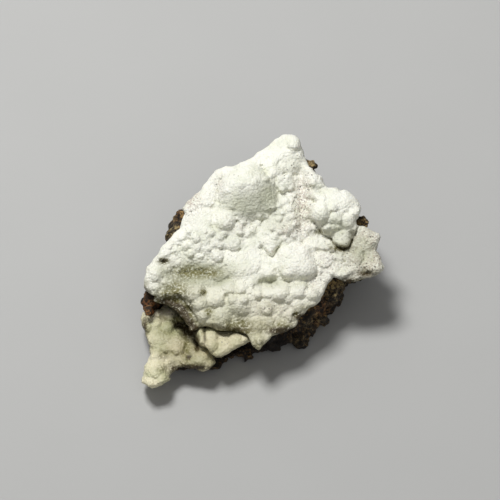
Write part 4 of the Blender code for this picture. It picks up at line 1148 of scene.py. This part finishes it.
@dataclass(frozen=True)
class AragoniteFinish:
    """White to cream growth, with painted grey-green shade on the fronts of its domes, in its
    hollows and creases and towards its lower parts, stained and specked in places.
    """

    bright: Colour = (0.88, 0.875, 0.78)
    dull: Colour = (0.78, 0.785, 0.66)
    # Grey-green painted shade.
    shade: Colour = (0.46, 0.47, 0.34)
    # Warmer cream, dark enough to paint shade on the lower parts too.
    cream: Colour = (0.56, 0.53, 0.35)
    # Grey-green painted shade for the hollows.
    hollow_shade: Colour = (0.43, 0.46, 0.31)
    blush: Colour = (0.48, 0.40, 0.34)
    # Painted shade for the fine creases.
    crevice_shade: Colour = (0.36, 0.35, 0.22)
    stain: Colour = (0.17, 0.155, 0.05)
    speck: Colour = (0.09, 0.08, 0.06)
    # Painted shade in the cut crevices.
    seam_shade: Colour = (0.085, 0.070, 0.024)
    # Near black, for grime and for painted shade in crevices.
    grime_and_shade: Colour = (0.060, 0.042, 0.014)
    roughness: float = 0.5
    cloud_size: float = 5.0
    grain_size: float = 0.5
    bead_size: float = 0.62
    speck_spread: float = 0.9
    strays: float = 0.06
    bump_depth: float = 0.38
    glow: float = 0.06
    glow_depth: float = 0.8
    glow_spread: Colour = (1.0, 0.85, 0.6)

    def material(self, name: str) -> bpy.types.Material:
        """Make the finish.

        Args:
            name: The material's name.

        Returns:
            The material.
        """
        bench = Bench(name)
        cloud = bench.noise(self.cloud_size, 4.0)
        grain = bench.noise(self.grain_size, 3.0, 0.6)
        base = bench.blend(cloud.eased(0.42, 0.68), self.bright, self.dull)
        # A warmer cream, with painted shade that darkens the lower parts.
        base = bench.blend(bench.painted(Layer.CREAM_AND_SHADE) * (cloud * 0.5 + 0.55), base, self.cream)
        base = bench.blend(bench.painted(Layer.BLUSH) * grain.eased(0.42, 0.58), base, self.blush)
        # Painted shade on the fronts of domes and in hollows.
        base = bench.blend(bench.painted(Layer.SHADE) * (cloud * 0.6 + 0.5), base, self.shade)
        # Painted shade in the broad hollows.
        base = bench.blend(bench.painted(Layer.HOLLOW_SHADE).eased(0.15, 1.0) * 0.75, base, self.hollow_shade)
        # Painted shade in the fine creases.
        base = bench.blend(bench.painted(Layer.CREVICE_SHADE).eased(0.25, 1.0) * 0.7, base, self.crevice_shade)
        dirt = bench.painted(Layer.CREAM_AND_SHADE) * bench.noise(1.5, 4.0, 0.6).eased(0.5, 0.7) * 0.3
        stained = bench.painted(Layer.STAIN) * 1.6 + bench.painted(Layer.SOIL)
        stained = stained * bench.noise(0.6, 4.0, 0.65).eased(0.34, 0.56) + dirt
        base = bench.blend(stained.at_most(1.0), base, self.stain)
        dots = 1.0 - bench.cells(self.speck_spread).eased(0.14, 0.3)
        sown = bench.painted(Layer.BLUSH) * 1.8 * bench.noise(2.2, 1.0).eased(0.38, 0.56)
        sown = sown + bench.painted(Layer.SOOT) + self.strays
        base = bench.blend(dots * sown.at_most(1.0) * 0.9, base, self.speck)
        # Painted shade along the cut crevices.
        base = bench.blend(bench.painted(Layer.SEAM_SHADE).eased(0.25, 0.9), base, self.seam_shade)
        # Grime, with painted shade in the crevices under the rims.
        grime_and_shade_share = bench.painted(Layer.GRIME_AND_SHADE) * 1.3 * bench.noise(0.6, 4.0, 0.7).eased(0.3, 0.5)
        base = bench.blend(grime_and_shade_share, base, self.grime_and_shade)
        beads = 1.0 - bench.cells(self.bead_size)
        height = beads * 0.55 + grain * 0.3 + bench.noise(0.22, 2.0) * 0.25
        bench.bump(height, self.bump_depth)
        bench.shader.inputs["Subsurface Radius"].default_value = self.glow_spread
        return bench.dress(
            Base_Color=base,
            Roughness=grain * 0.25 + (self.roughness - 0.1),
            Subsurface_Weight=self.glow,
            Subsurface_Scale=self.glow_depth * MM,
        )


@dataclass(frozen=True)
class LimoniteFinish:
    """Brown iron rock, with painted shade near black in its pits and low down under the crusts, and
    ochre dust with a painted highlight on its crests.
    """

    # Near black, for the darkest grain and for painted shade in pits and low down.
    night: Colour = (0.006, 0.004, 0.003)
    brown: Colour = (0.024, 0.012, 0.006)
    ochre: Colour = (0.38, 0.23, 0.075)
    rust: Colour = (0.33, 0.125, 0.036)
    dust: Colour = (0.56, 0.44, 0.21)
    roughness: float = 0.85
    cloud_size: float = 3.2
    grain_size: float = 0.55
    patch_size: float = 0.7
    dark_size: float = 2.2
    bump_depth: float = 0.8

    def material(self, name: str) -> bpy.types.Material:
        """Make the finish.

        Args:
            name: The material's name.

        Returns:
            The material.
        """
        bench = Bench(name)
        cloud = bench.noise(self.cloud_size, 5.0, 0.65)
        grain = bench.noise(self.grain_size, 5.0, 0.7)
        crest_dust_and_highlight = bench.painted(Layer.CREST_DUST_AND_HIGHLIGHT)
        patchy = bench.noise(self.patch_size, 5.0, 0.7).eased(0.43, 0.57)
        dark = 1.0 - bench.noise(self.dark_size, 3.0).eased(0.4, 0.54)
        base = bench.ramp(grain, ((0.42, self.night), (0.54, self.brown), (0.7, self.ochre)))
        # Ochre on the crests, partly dust and partly a painted highlight.
        dusty_highlights = crest_dust_and_highlight.eased(0.15, 1.0) * cloud.eased(0.4, 0.56) * patchy
        base = bench.blend(dusty_highlights, base, self.ochre)
        base = bench.blend(bench.painted(Layer.RUST) * patchy, base, self.rust)
        # Dust, lighter on the crests with a painted highlight.
        dusty = bench.painted(Layer.DUST) * patchy * (crest_dust_and_highlight + 0.35).at_most(1.0)
        base = bench.blend(dusty, base, self.dust)
        # Painted shade near black in the rock's pits.
        base = bench.blend(bench.painted(Layer.HOLLOW_SHADE).eased(0.2, 0.9) * 0.85, base, self.night)
        base = bench.blend(dark * 0.85, base, self.night)
        # Painted shade low down under the crusts.
        base = bench.blend(bench.painted(Layer.UNDER_SHADE) * 0.85, base, self.night)
        bench.bump(grain * 0.7 + bench.noise(0.25, 2.0) * 0.3, self.bump_depth)
        return bench.dress(Base_Color=base, Roughness=grain * 0.3 + (self.roughness - 0.15))


@dataclass
class Growth:
    """A crust of fused lobes and lumps, laid on its bed.

    A slab is an outline and its height over the bed. A field of granules has a size, a depth and a
    floor, and one of pebbles a size and a depth. The voxel is the size of the skin's faces.
    """

    name: str
    stands_for: str
    slot: str
    bed: Bed
    slabs: tuple[tuple[Line, float], ...]
    levels: tuple[tuple[Lobe, ...], ...]
    creases: tuple[Crease, ...]
    dents: tuple[Swell, ...]
    grain: tuple[Swell, ...]
    tints: dict[Layer, tuple[Swell, ...]]
    voxel: float
    seams: tuple[Crease, ...]
    lumps: tuple[Ball, ...]
    balls: tuple[Ball, ...] = ()
    grid: float = 0.2
    block_margin: float = 1.0
    rim_roll: float = 1.3
    rim_width: float = 1.3
    rim_wander: float = 0.35
    rim_wander_size: float = 1.5
    rim_wander_level: float = 4.0
    floor_drop: float = 1.2
    least: float = 0.7
    stray: float = 0.45
    stray_size: float = 2.6
    stray_level: float = 9.0
    undercut: float = 0.02
    undercut_from: float = -3.0
    undercut_over: float = 0.9
    soil_from: float = -1.7
    soil_over: float = 1.6
    usual_grain: float = 0.62
    least_grain: float = 0.06
    smooth_below: float = 0.1
    granule_sizes: tuple[tuple[float, float, float], ...] = ((2.4, 0.75, 0.0), (1.2, 0.85, 0.4))
    pebbles: tuple[tuple[float, float], ...] = ((0.66, 0.3),)
    heave: float = 0.1
    heave_size: float = 3.1
    smooth_rounds: int = 5
    hollow_rounds: int = 14
    hollow_depth: float = 0.34
    crevice_rounds: int = 3
    crevice_depth: float = 0.07
    seam_depth: float = 1.8

    def build(self, finish: AragoniteFinish) -> bpy.types.Object:
        """Make the crust.

        Args:
            finish: What it is dressed in.

        Returns:
            The piece, riding on the specimen's one body.
        """
        item = Clay.to_object(self._block(), self.name)
        self._carve(item.data)
        Clay.fuse(item, self.voxel)
        Clay.keep_largest(item)
        Clay.melt(item, 1)
        self._pebble(item.data)
        Clay.melt(item, 1)
        places = Clay.places(item.data)
        smooth = self._grain_at(places[:, 0], places[:, 1]) < self.smooth_below
        Clay.melt(item, self.smooth_rounds, smooth)
        Clay.cut_flat(item, (0.0, 0.0, self.bed.contact), (0.0, 0.0, 1.0))
        self._tint(item.data)
        Clay.put(item.data, self.bed.lay(Clay.places(item.data)))
        item.data.shade_smooth()
        item.data.materials.append(finish.material(self.slot))
        return settle(item, self.stands_for)

    def _block(self) -> bmesh.types.BMesh:
        """A block under all the outlines, with a fine grid for its top.

        Returns:
            The block.
        """
        places = np.concatenate([np.array(outline) for outline, _ in self.slabs])
        low = places.min(axis=0) - self.block_margin
        high = places.max(axis=0) + self.block_margin
        wide, tall = high - low
        bm = bmesh.new()
        across, along = math.ceil(wide / self.grid), math.ceil(tall / self.grid)
        bmesh.ops.create_grid(bm, x_segments=across, y_segments=along, size=0.5)
        bmesh.ops.scale(bm, verts=bm.verts, vec=(wide, tall, 1.0))
        bmesh.ops.translate(bm, verts=bm.verts, vec=(*(low + high) / 2, 0.0))
        raised = bmesh.ops.extrude_face_region(bm, geom=bm.faces[:], use_keep_orig=True)
        bottom = [part for part in raised["geom"] if isinstance(part, bmesh.types.BMVert)]
        floor = self.bed.contact - 2 * self.floor_drop
        bmesh.ops.translate(bm, verts=bottom, vec=(0.0, 0.0, floor))
        bmesh.ops.recalc_face_normals(bm, faces=bm.faces)
        return bm

    def _carve(self, mesh: bpy.types.Mesh) -> None:
        """Raise the block's top to the height of the growth.

        Args:
            mesh: The block's mesh.
        """
        places = Clay.places(mesh)
        top = places[:, 2] > self.bed.contact - self.floor_drop
        u, v = places[top, 0], places[top, 1]
        relief = self._relief(u, v)
        size, level = self.rim_wander_size, self.rim_wander_level
        wander = [noise.noise((a / size, b / size, level)) for a, b in zip(u, v)]
        height = np.full(len(u), self.bed.contact - self.floor_drop)
        for outline, slab in self.slabs:
            into = margin(outline, u, v) + self.rim_wander * np.array(wander)
            share = np.clip(into / self.rim_width, 0.0, 1.0)
            rolled = slab + relief - self.rim_roll * (1.0 - np.sqrt(1.0 - (1.0 - share) ** 2))
            rolled = np.maximum(rolled, self.bed.contact + self.least)
            height = np.where(into > 0.0, np.maximum(height, rolled), height)
        places[top, 2] = height
        Clay.put(mesh, places)

    def _astray(self, u: np.ndarray, v: np.ndarray) -> tuple[np.ndarray, np.ndarray]:
        """Places a little off, so that no form keeps an even outline.

        Args:
            u: The places' distances to the right.
            v: The places' distances up the face.

        Returns:
            U and V of the strayed places.
        """
        size, level = self.stray_size, self.stray_level
        drift = [noise.noise_vector((a / size, b / size, level)) for a, b in zip(u, v)]
        off = self.stray * np.array(drift)
        return u + off[:, 0], v + off[:, 1]

    def _relief(self, u: np.ndarray, v: np.ndarray) -> np.ndarray:
        """Height of the growth over its slabs at each place.

        Args:
            u: The places' distances to the right.
            v: The places' distances up the face.

        Returns:
            One height for each place.
        """
        share = self._grain_at(u, v)
        fields = [
            floor + depth * granules(u, v, size, number)
            for number, (size, depth, floor) in enumerate(self.granule_sizes)
        ]
        relief = share * np.max(fields, axis=0)
        u, v = self._astray(u, v)
        relief += piled(self.dents, u, v)
        for level in self.levels:
            tops = [form.over(u, v) for form in level]
            relief += np.max(tops, axis=0)
        relief -= piled(self.creases, u, v)
        for lump in self.lumps:
            under = relief[np.argmin((u - lump.u) ** 2 + (v - lump.v) ** 2)]
            relief = np.maximum(relief, under + lump.over(u, v))
        for ball in self.balls:
            relief = np.maximum(relief, ball.over(u, v))
        return relief - piled(self.seams, u, v)

    def _grain_at(self, u: np.ndarray, v: np.ndarray) -> np.ndarray:
        """How grainy the growth is at each place."""
        return np.clip(self.usual_grain + piled(self.grain, u, v), self.least_grain, 1.0)

    def _pebble(self, mesh: bpy.types.Mesh) -> None:
        """Cover the skin with small fused balls, and draw its foot in.

        Args:
            mesh: The growth's mesh.
        """
        places = Clay.places(mesh)
        outward = Clay.outward(mesh)
        share = self._grain_at(places[:, 0], places[:, 1])
        grown = np.empty(len(places))
        for number, place in enumerate(map(Vector, places)):
            height = sum(depth * pebbled(place, size) for size, depth in self.pebbles)
            heave = self.heave * noise.noise(place / self.heave_size)
            grown[number] = share[number] * height + heave
        places += outward * grown[:, None]
        low = np.clip((self.undercut_from - places[:, 2]) / self.undercut_over, 0.0, 1.0)
        middle = places[:, :2].mean(axis=0)
        places[:, :2] -= (places[:, :2] - middle) * (self.undercut * low)[:, None]
        Clay.put(mesh, places)

    def _tint(self, mesh: bpy.types.Mesh) -> None:
        """Keep the painted shade of the hollows, crevices and seams, the tints and the soil on the
        mesh's points.

        Args:
            mesh: The growth's mesh.
        """
        places = Clay.places(mesh)
        u, v = places[:, 0], places[:, 1]
        hollow_shade = Clay.hollowness(mesh, self.hollow_rounds) / self.hollow_depth
        crevice_shade = Clay.hollowness(mesh, self.crevice_rounds) / self.crevice_depth
        Clay.paint(mesh, Layer.HOLLOW_SHADE, hollow_shade)
        Clay.paint(mesh, Layer.CREVICE_SHADE, crevice_shade)
        for layer, patches in self.tints.items():
            Clay.paint(mesh, layer, piled(patches, u, v))
        Clay.paint(mesh, Layer.SOIL, (self.soil_from - places[:, 2]) / self.soil_over)
        Clay.paint(mesh, Layer.SEAM_SHADE, piled(self.seams, *self._astray(u, v)) / self.seam_depth)


@dataclass
class LimoniteRock:
    """The rough brown rock that carries the growth."""

    voxel: float
    name: str = "limonite_rock"
    stands_for: str = "limonite_matrix"
    slot: str = "limonite"
    coarse_voxel: float = 0.7
    sole_share: float = 0.8
    sole_margin: float = 1.5
    foot_height: float = 1.6
    hollow_height: float = 16.0
    swell: float = 1.6
    swell_size: float = 5.5
    grain: float = 0.9
    grain_size: float = 2.0
    grain_shift: tuple[float, float, float] = (7.0, 3.0, 1.0)
    vug: float = 1.4
    vug_size: float = 2.1
    vug_shift: tuple[float, float, float] = (2.0, 5.0, 8.0)
    vug_reach: float = 0.42
    pit_depth: float = 0.8
    grit: float = 0.8
    grit_size: float = 0.9
    rise_over_bed: float = 1.0
    bed_clearance: float = 0.02
    press_reach: float = 1.6
    hollow_rounds: int = 12
    hollow_depth: float = 0.45
    crest_rounds: int = 5
    crest_height: float = 0.16

    def build(self, finish: LimoniteFinish) -> bpy.types.Object:
        """Make the rock.

        Args:
            finish: What it is dressed in.

        Returns:
            The piece, riding on the specimen's one body.
        """
        item = Clay.to_object(self._heap(), self.name)
        Clay.fuse(item, self.coarse_voxel * MM)
        self._clear_ledge(item)
        Clay.fuse(item, self.voxel * MM)
        self._roughen(item.data)
        Clay.fuse(item, self.voxel * MM)
        Clay.keep_largest(item)
        Clay.melt(item, 1)
        self._press_ledge(item.data)
        self._cut_faces(item)
        Clay.keep_largest(item)
        # Painted shade in the rock's pits.
        hollow_shade = Clay.hollowness(item.data, self.hollow_rounds) / (self.hollow_depth * MM)
        # Crests, for ochre dust and a painted highlight.
        crest_dust_and_highlight = -Clay.hollowness(item.data, self.crest_rounds) / (self.crest_height * MM)
        Clay.paint(item.data, Layer.HOLLOW_SHADE, hollow_shade)
        Clay.paint(item.data, Layer.CREST_DUST_AND_HIGHLIGHT, crest_dust_and_highlight)
        u, v, _ = to_lean(Clay.places(item.data))
        for layer, patches in ROCK_TINTS.items():
            Clay.paint(item.data, layer, piled(patches, u, v))
        item.data.shade_smooth()
        item.data.materials.append(finish.material(self.slot))
        return settle(item, self.stands_for)

    @staticmethod
    def _bed_normal() -> Vector:
        """Unit normal of the upper bed in the world.

        Returns:
            The normal, which points out of the rock.
        """
        steps = np.array([(0.0, 1.0, 0.0), (0.0, 0.0, 1.0), (0.0, 0.0, -UPPER.fall)])
        middle, right, up = to_world(*steps)
        return Vector(right - middle).cross(Vector(up - middle)).normalized()

    def _cut_faces(self, item: bpy.types.Object) -> None:
        """Cut the bed and the resting face flat, in millimetres, in which the cuts close exactly.

        Args:
            item: The rock.
        """
        depth = UPPER.contact - GAP - self.bed_clearance
        point = to_world(np.zeros(1), np.zeros(1), np.array([depth]))[0] / MM
        Clay.put(item.data, Clay.places(item.data) / MM)
        Clay.cut_flat(item, point, -self._bed_normal())
        Clay.cut_flat(item, (0.0, 0.0, 0.0), (0.0, 0.0, 1.0))
        Clay.put(item.data, Clay.places(item.data) * MM)

    def _heap(self) -> bmesh.types.BMesh:
        """The lofted body with its knobs, not yet fused.

        Returns:
            The body.
        """
        bm = bmesh.new()
        rim = np.array(ROCK_RIM)
        height = UPPER.contact + self.rise_over_bed - GAP / 2
        feet = np.column_stack((rim[:, 2:], np.full(len(rim), self.foot_height))) * MM
        sole = feet * (self.sole_share, self.sole_share, 0.0) - (0.0, 0.0, self.sole_margin * MM)
        top = to_world(rim[:, 0], rim[:, 1], height - UPPER.fall * rim[:, 1])
        Clay.loft(bm, (sole, feet, top))
        for u, v, z, radius in ROCK_KNOBS:
            w = (z - MIDDLE_HEIGHT - v * math.cos(LEAN)) / math.sin(LEAN)
            centre = to_world(np.array(u), np.array(v), np.array(w))
            self._add_knob(bm, centre, radius)
        for *centre, radius in HIDDEN_KNOBS:
            self._add_knob(bm, np.array(centre) * MM, radius)
        return bm

    @staticmethod
    def _add_knob(bm: bmesh.types.BMesh, centre: Row, radius: float) -> None:
        """A rounded knob of rock."""
        bmesh.ops.create_icosphere(
            bm, subdivisions=3, radius=radius * MM, matrix=Matrix.Translation(centre)
        )

    def _clear_ledge(self, item: bpy.types.Object) -> None:
        """Cut the space over the ledge out of the rock.

        Args:
            item: The rock.
        """
        low = LOWER.contact - GAP
        bm = bmesh.new()
        brow = low + BROW_HEIGHT
        rings = ((LEDGE_FLOOR, low), (LEDGE_BROW, brow), (LEDGE_BROW, self.hollow_height))
        Clay.loft(bm, [[(u, v, height) for u, v in ring] for ring, height in rings])
        cutter = Clay.to_object(bm, "ledge_hollow")
        Clay.put(cutter.data, LOWER.lay(Clay.places(cutter.data)))
        cut = item.modifiers.new("clear_ledge", "BOOLEAN")
        cut.operation = "DIFFERENCE"
        cut.solver = "EXACT"
        cut.object = cutter
        Clay.bake(item)
        bpy.data.objects.remove(cutter)

    def _roughen(self, mesh: bpy.types.Mesh) -> None:
        """Swell and grain the skin and press its pits and vugs in.

        Args:
            mesh: The rock's mesh.
        """
        places = Clay.places(mesh)
        outward = Clay.outward(mesh)
        pits = [(Vector(place), radius) for *place, radius in ROCK_PITS]
        grain_shift, vug_shift = Vector(self.grain_shift), Vector(self.vug_shift)
        out = np.empty(len(places))
        for number, place in enumerate(map(Vector, places / MM)):
            rise = self.swell * noise.noise(place / self.swell_size)
            rise += self.grain * noise.noise(place / self.grain_size + grain_shift)
            rise += self.grit * noise.noise(place / self.grit_size)
            vug = noise.voronoi(place / self.vug_size + vug_shift)[0][0]
            rise -= self.vug * max(0.0, 1.0 - (vug / self.vug_reach) ** 2)
            for centre, radius in pits:
                reach = (place - centre).length / radius
                if reach < 1.0:
                    rise -= self.pit_depth * radius * (1.0 - reach * reach)
            out[number] = rise
        Clay.put(mesh, places + outward * out[:, None] * MM)

    def _press_ledge(self, mesh: bpy.types.Mesh) -> None:
        """Press the ledge flat where the lower crust lies on it.

        Args:
            mesh: The rock's mesh.
        """
        u, v, w = to_lean(Clay.places(mesh))
        height = LOWER.height_of(v, w)
        low = LOWER.contact - GAP
        proud = inside(LEDGE_FLOOR, u, v) & (height > low) & (height < low + self.press_reach)
        w = np.where(proud, w - (height - low), w)
        Clay.put(mesh, to_world(u, v, w))


@dataclass(frozen=True)
class Lamp:
    """A square soft light aimed at the specimen, in metres and watts."""

    name: str
    place: tuple[float, float, float]
    size: float
    power: float

    def hang(self) -> None:
        """Put the light in the scene."""
        light = bpy.data.lights.new(self.name, "AREA")
        light.size = self.size
        light.energy = self.power
        lamp = bpy.data.objects.new(self.name, light)
        lamp.location = self.place
        lamp.rotation_euler = (-Vector(self.place)).to_track_quat("-Z", "Y").to_euler()
        bpy.context.scene.collection.objects.link(lamp)


@dataclass
class Studio:
    """A plain pale floor, soft light from above and the camera."""

    half_floor: float = 2.0
    floor_drop: float = 0.1
    floor_colour: Colour = (0.42, 0.42, 0.41)
    floor_gain: float = 1.04
    floor_cloud: float = 30.0
    floor_roughness: float = 0.9
    focus: tuple[float, float] = (-2.88, 2.4)
    distance: float = 1.5
    lens: float = 450.0
    sensor: float = 36.0
    nearest: float = 0.01
    world_light: float = 0.21
    lamps: tuple[Lamp, ...] = (
        Lamp("key", (-0.183, 0.218, 0.639), 0.22, 4.7),
        Lamp("fill", (0.2, -0.5, 0.5), 0.5, 0.5),
        Lamp("back_fill", (-0.3, 0.6, 0.3), 0.5, 0.4),
    )

    def build(self) -> None:
        """Set the floor, the lights and the camera."""
        self._lay_floor()
        for lamp in self.lamps:
            lamp.hang()
        world = bpy.data.worlds.new("studio")
        world.use_nodes = True
        sky = world.node_tree.nodes["Background"]
        sky.inputs["Color"].default_value = (1.0, 1.0, 1.0, 1.0)
        sky.inputs["Strength"].default_value = self.world_light
        bpy.context.scene.world = world
        bpy.context.scene.view_settings.view_transform = "Standard"
        self._place_camera()

    def _lay_floor(self) -> None:
        """A wide pale floor just under the specimen."""
        bm = bmesh.new()
        bmesh.ops.create_grid(bm, x_segments=1, y_segments=1, size=self.half_floor)
        bmesh.ops.translate(bm, verts=bm.verts, vec=(0.0, 0.0, -self.floor_drop * MM))
        floor = Clay.to_object(bm, "studio_floor")
        bench = Bench("pale_floor")
        cloud = bench.noise(self.floor_cloud, 2.0)
        paler = tuple(self.floor_gain * share for share in self.floor_colour)
        tone = bench.blend(cloud, self.floor_colour, paler)
        finish = bench.dress(Base_Color=tone, Roughness=self.floor_roughness)
        floor.data.materials.append(finish)

    def _place_camera(self) -> None:
        """A long lens that looks down on the specimen from the front."""
        target = Vector(to_world(*map(np.array, (*self.focus, 0.0))))
        back = Vector((0.0, -math.cos(LEAN), math.sin(LEAN)))
        data = bpy.data.cameras.new("camera")
        data.lens = self.lens
        data.sensor_width = self.sensor
        data.clip_start = self.nearest
        camera = bpy.data.objects.new("camera", data)
        camera.location = target + back * self.distance
        camera.rotation_euler = back.to_track_quat("Z", "Y").to_euler()
        bpy.context.scene.collection.objects.link(camera)
        bpy.context.scene.camera = camera


def settle(item: bpy.types.Object, stands_for: str) -> bpy.types.Object:
    """Let a piece ride on the specimen in place of its solid.

    Args:
        item: The piece.
        stands_for: The solid it replaces.

    Returns:
        The piece.
    """
    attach(item, "root")
    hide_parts(stands_for)
    item.data.calc_loop_triangles()
    low, high = Vector(item.bound_box[0]), Vector(item.bound_box[6])
    size = " x ".join(f"{side / MM:.1f}" for side in high - low)
    log.info("%s: %d triangles, %s mm", item.name, len(item.data.loop_triangles), size)
    return item


def main() -> None:
    """Build the specimen's looks around its solids."""
    logging.basicConfig(level=logging.INFO, format="%(name)s %(message)s")
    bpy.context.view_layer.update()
    noise.seed_set(STRAY_SEED)
    coarse = 1.0
    white = AragoniteFinish()
    # The ledge's creamier finish, whose shade, cream and hollow colours also paint shade.
    cream = AragoniteFinish(
        bright=(0.75, 0.70, 0.49), dull=(0.52, 0.51, 0.31), shade=(0.34, 0.36, 0.19),
        cream=(0.40, 0.34, 0.20), hollow_shade=(0.30, 0.27, 0.12), roughness=0.42,
    )
    Growth(
        "aragonite_growth", "aragonite_crust", "aragonite", UPPER,
        slabs=((UPPER_OUTLINE, SLAB_TOP), (SKIRT_OUTLINE, SKIRT_TOP)),
        levels=(UPPER_DOMES, UPPER_LOBES), creases=UPPER_CREASES, seams=UPPER_SEAMS,
        dents=UPPER_DENTS, lumps=UPPER_LUMPS, balls=UPPER_BALLS, grain=UPPER_GRAIN,
        tints=UPPER_TINTS, voxel=0.215 * coarse,
    ).build(white)
    Growth(
        "aragonite_ledge_growth", "aragonite_ledge_crust", "aragonite_cream", LOWER,
        slabs=(
            (LOBE_OUTLINE, LOBE_TOP), (SLIPPER_OUTLINE, SLIPPER_RISE), (APRON_OUTLINE, APRON_TOP),
        ),
        levels=(LEDGE_DOMES, LEDGE_LOBES), creases=LEDGE_CREASES, seams=LEDGE_SEAMS,
        dents=LEDGE_DENTS, lumps=LEDGE_LUMPS, grain=LEDGE_GRAIN, tints=LEDGE_TINTS,
        voxel=0.18 * coarse, usual_grain=0.45, rim_roll=0.9,
    ).build(cream)
    LimoniteRock(voxel=0.3 * coarse).build(LimoniteFinish())
    Studio().build()


if __name__ == "__main__":
    main()
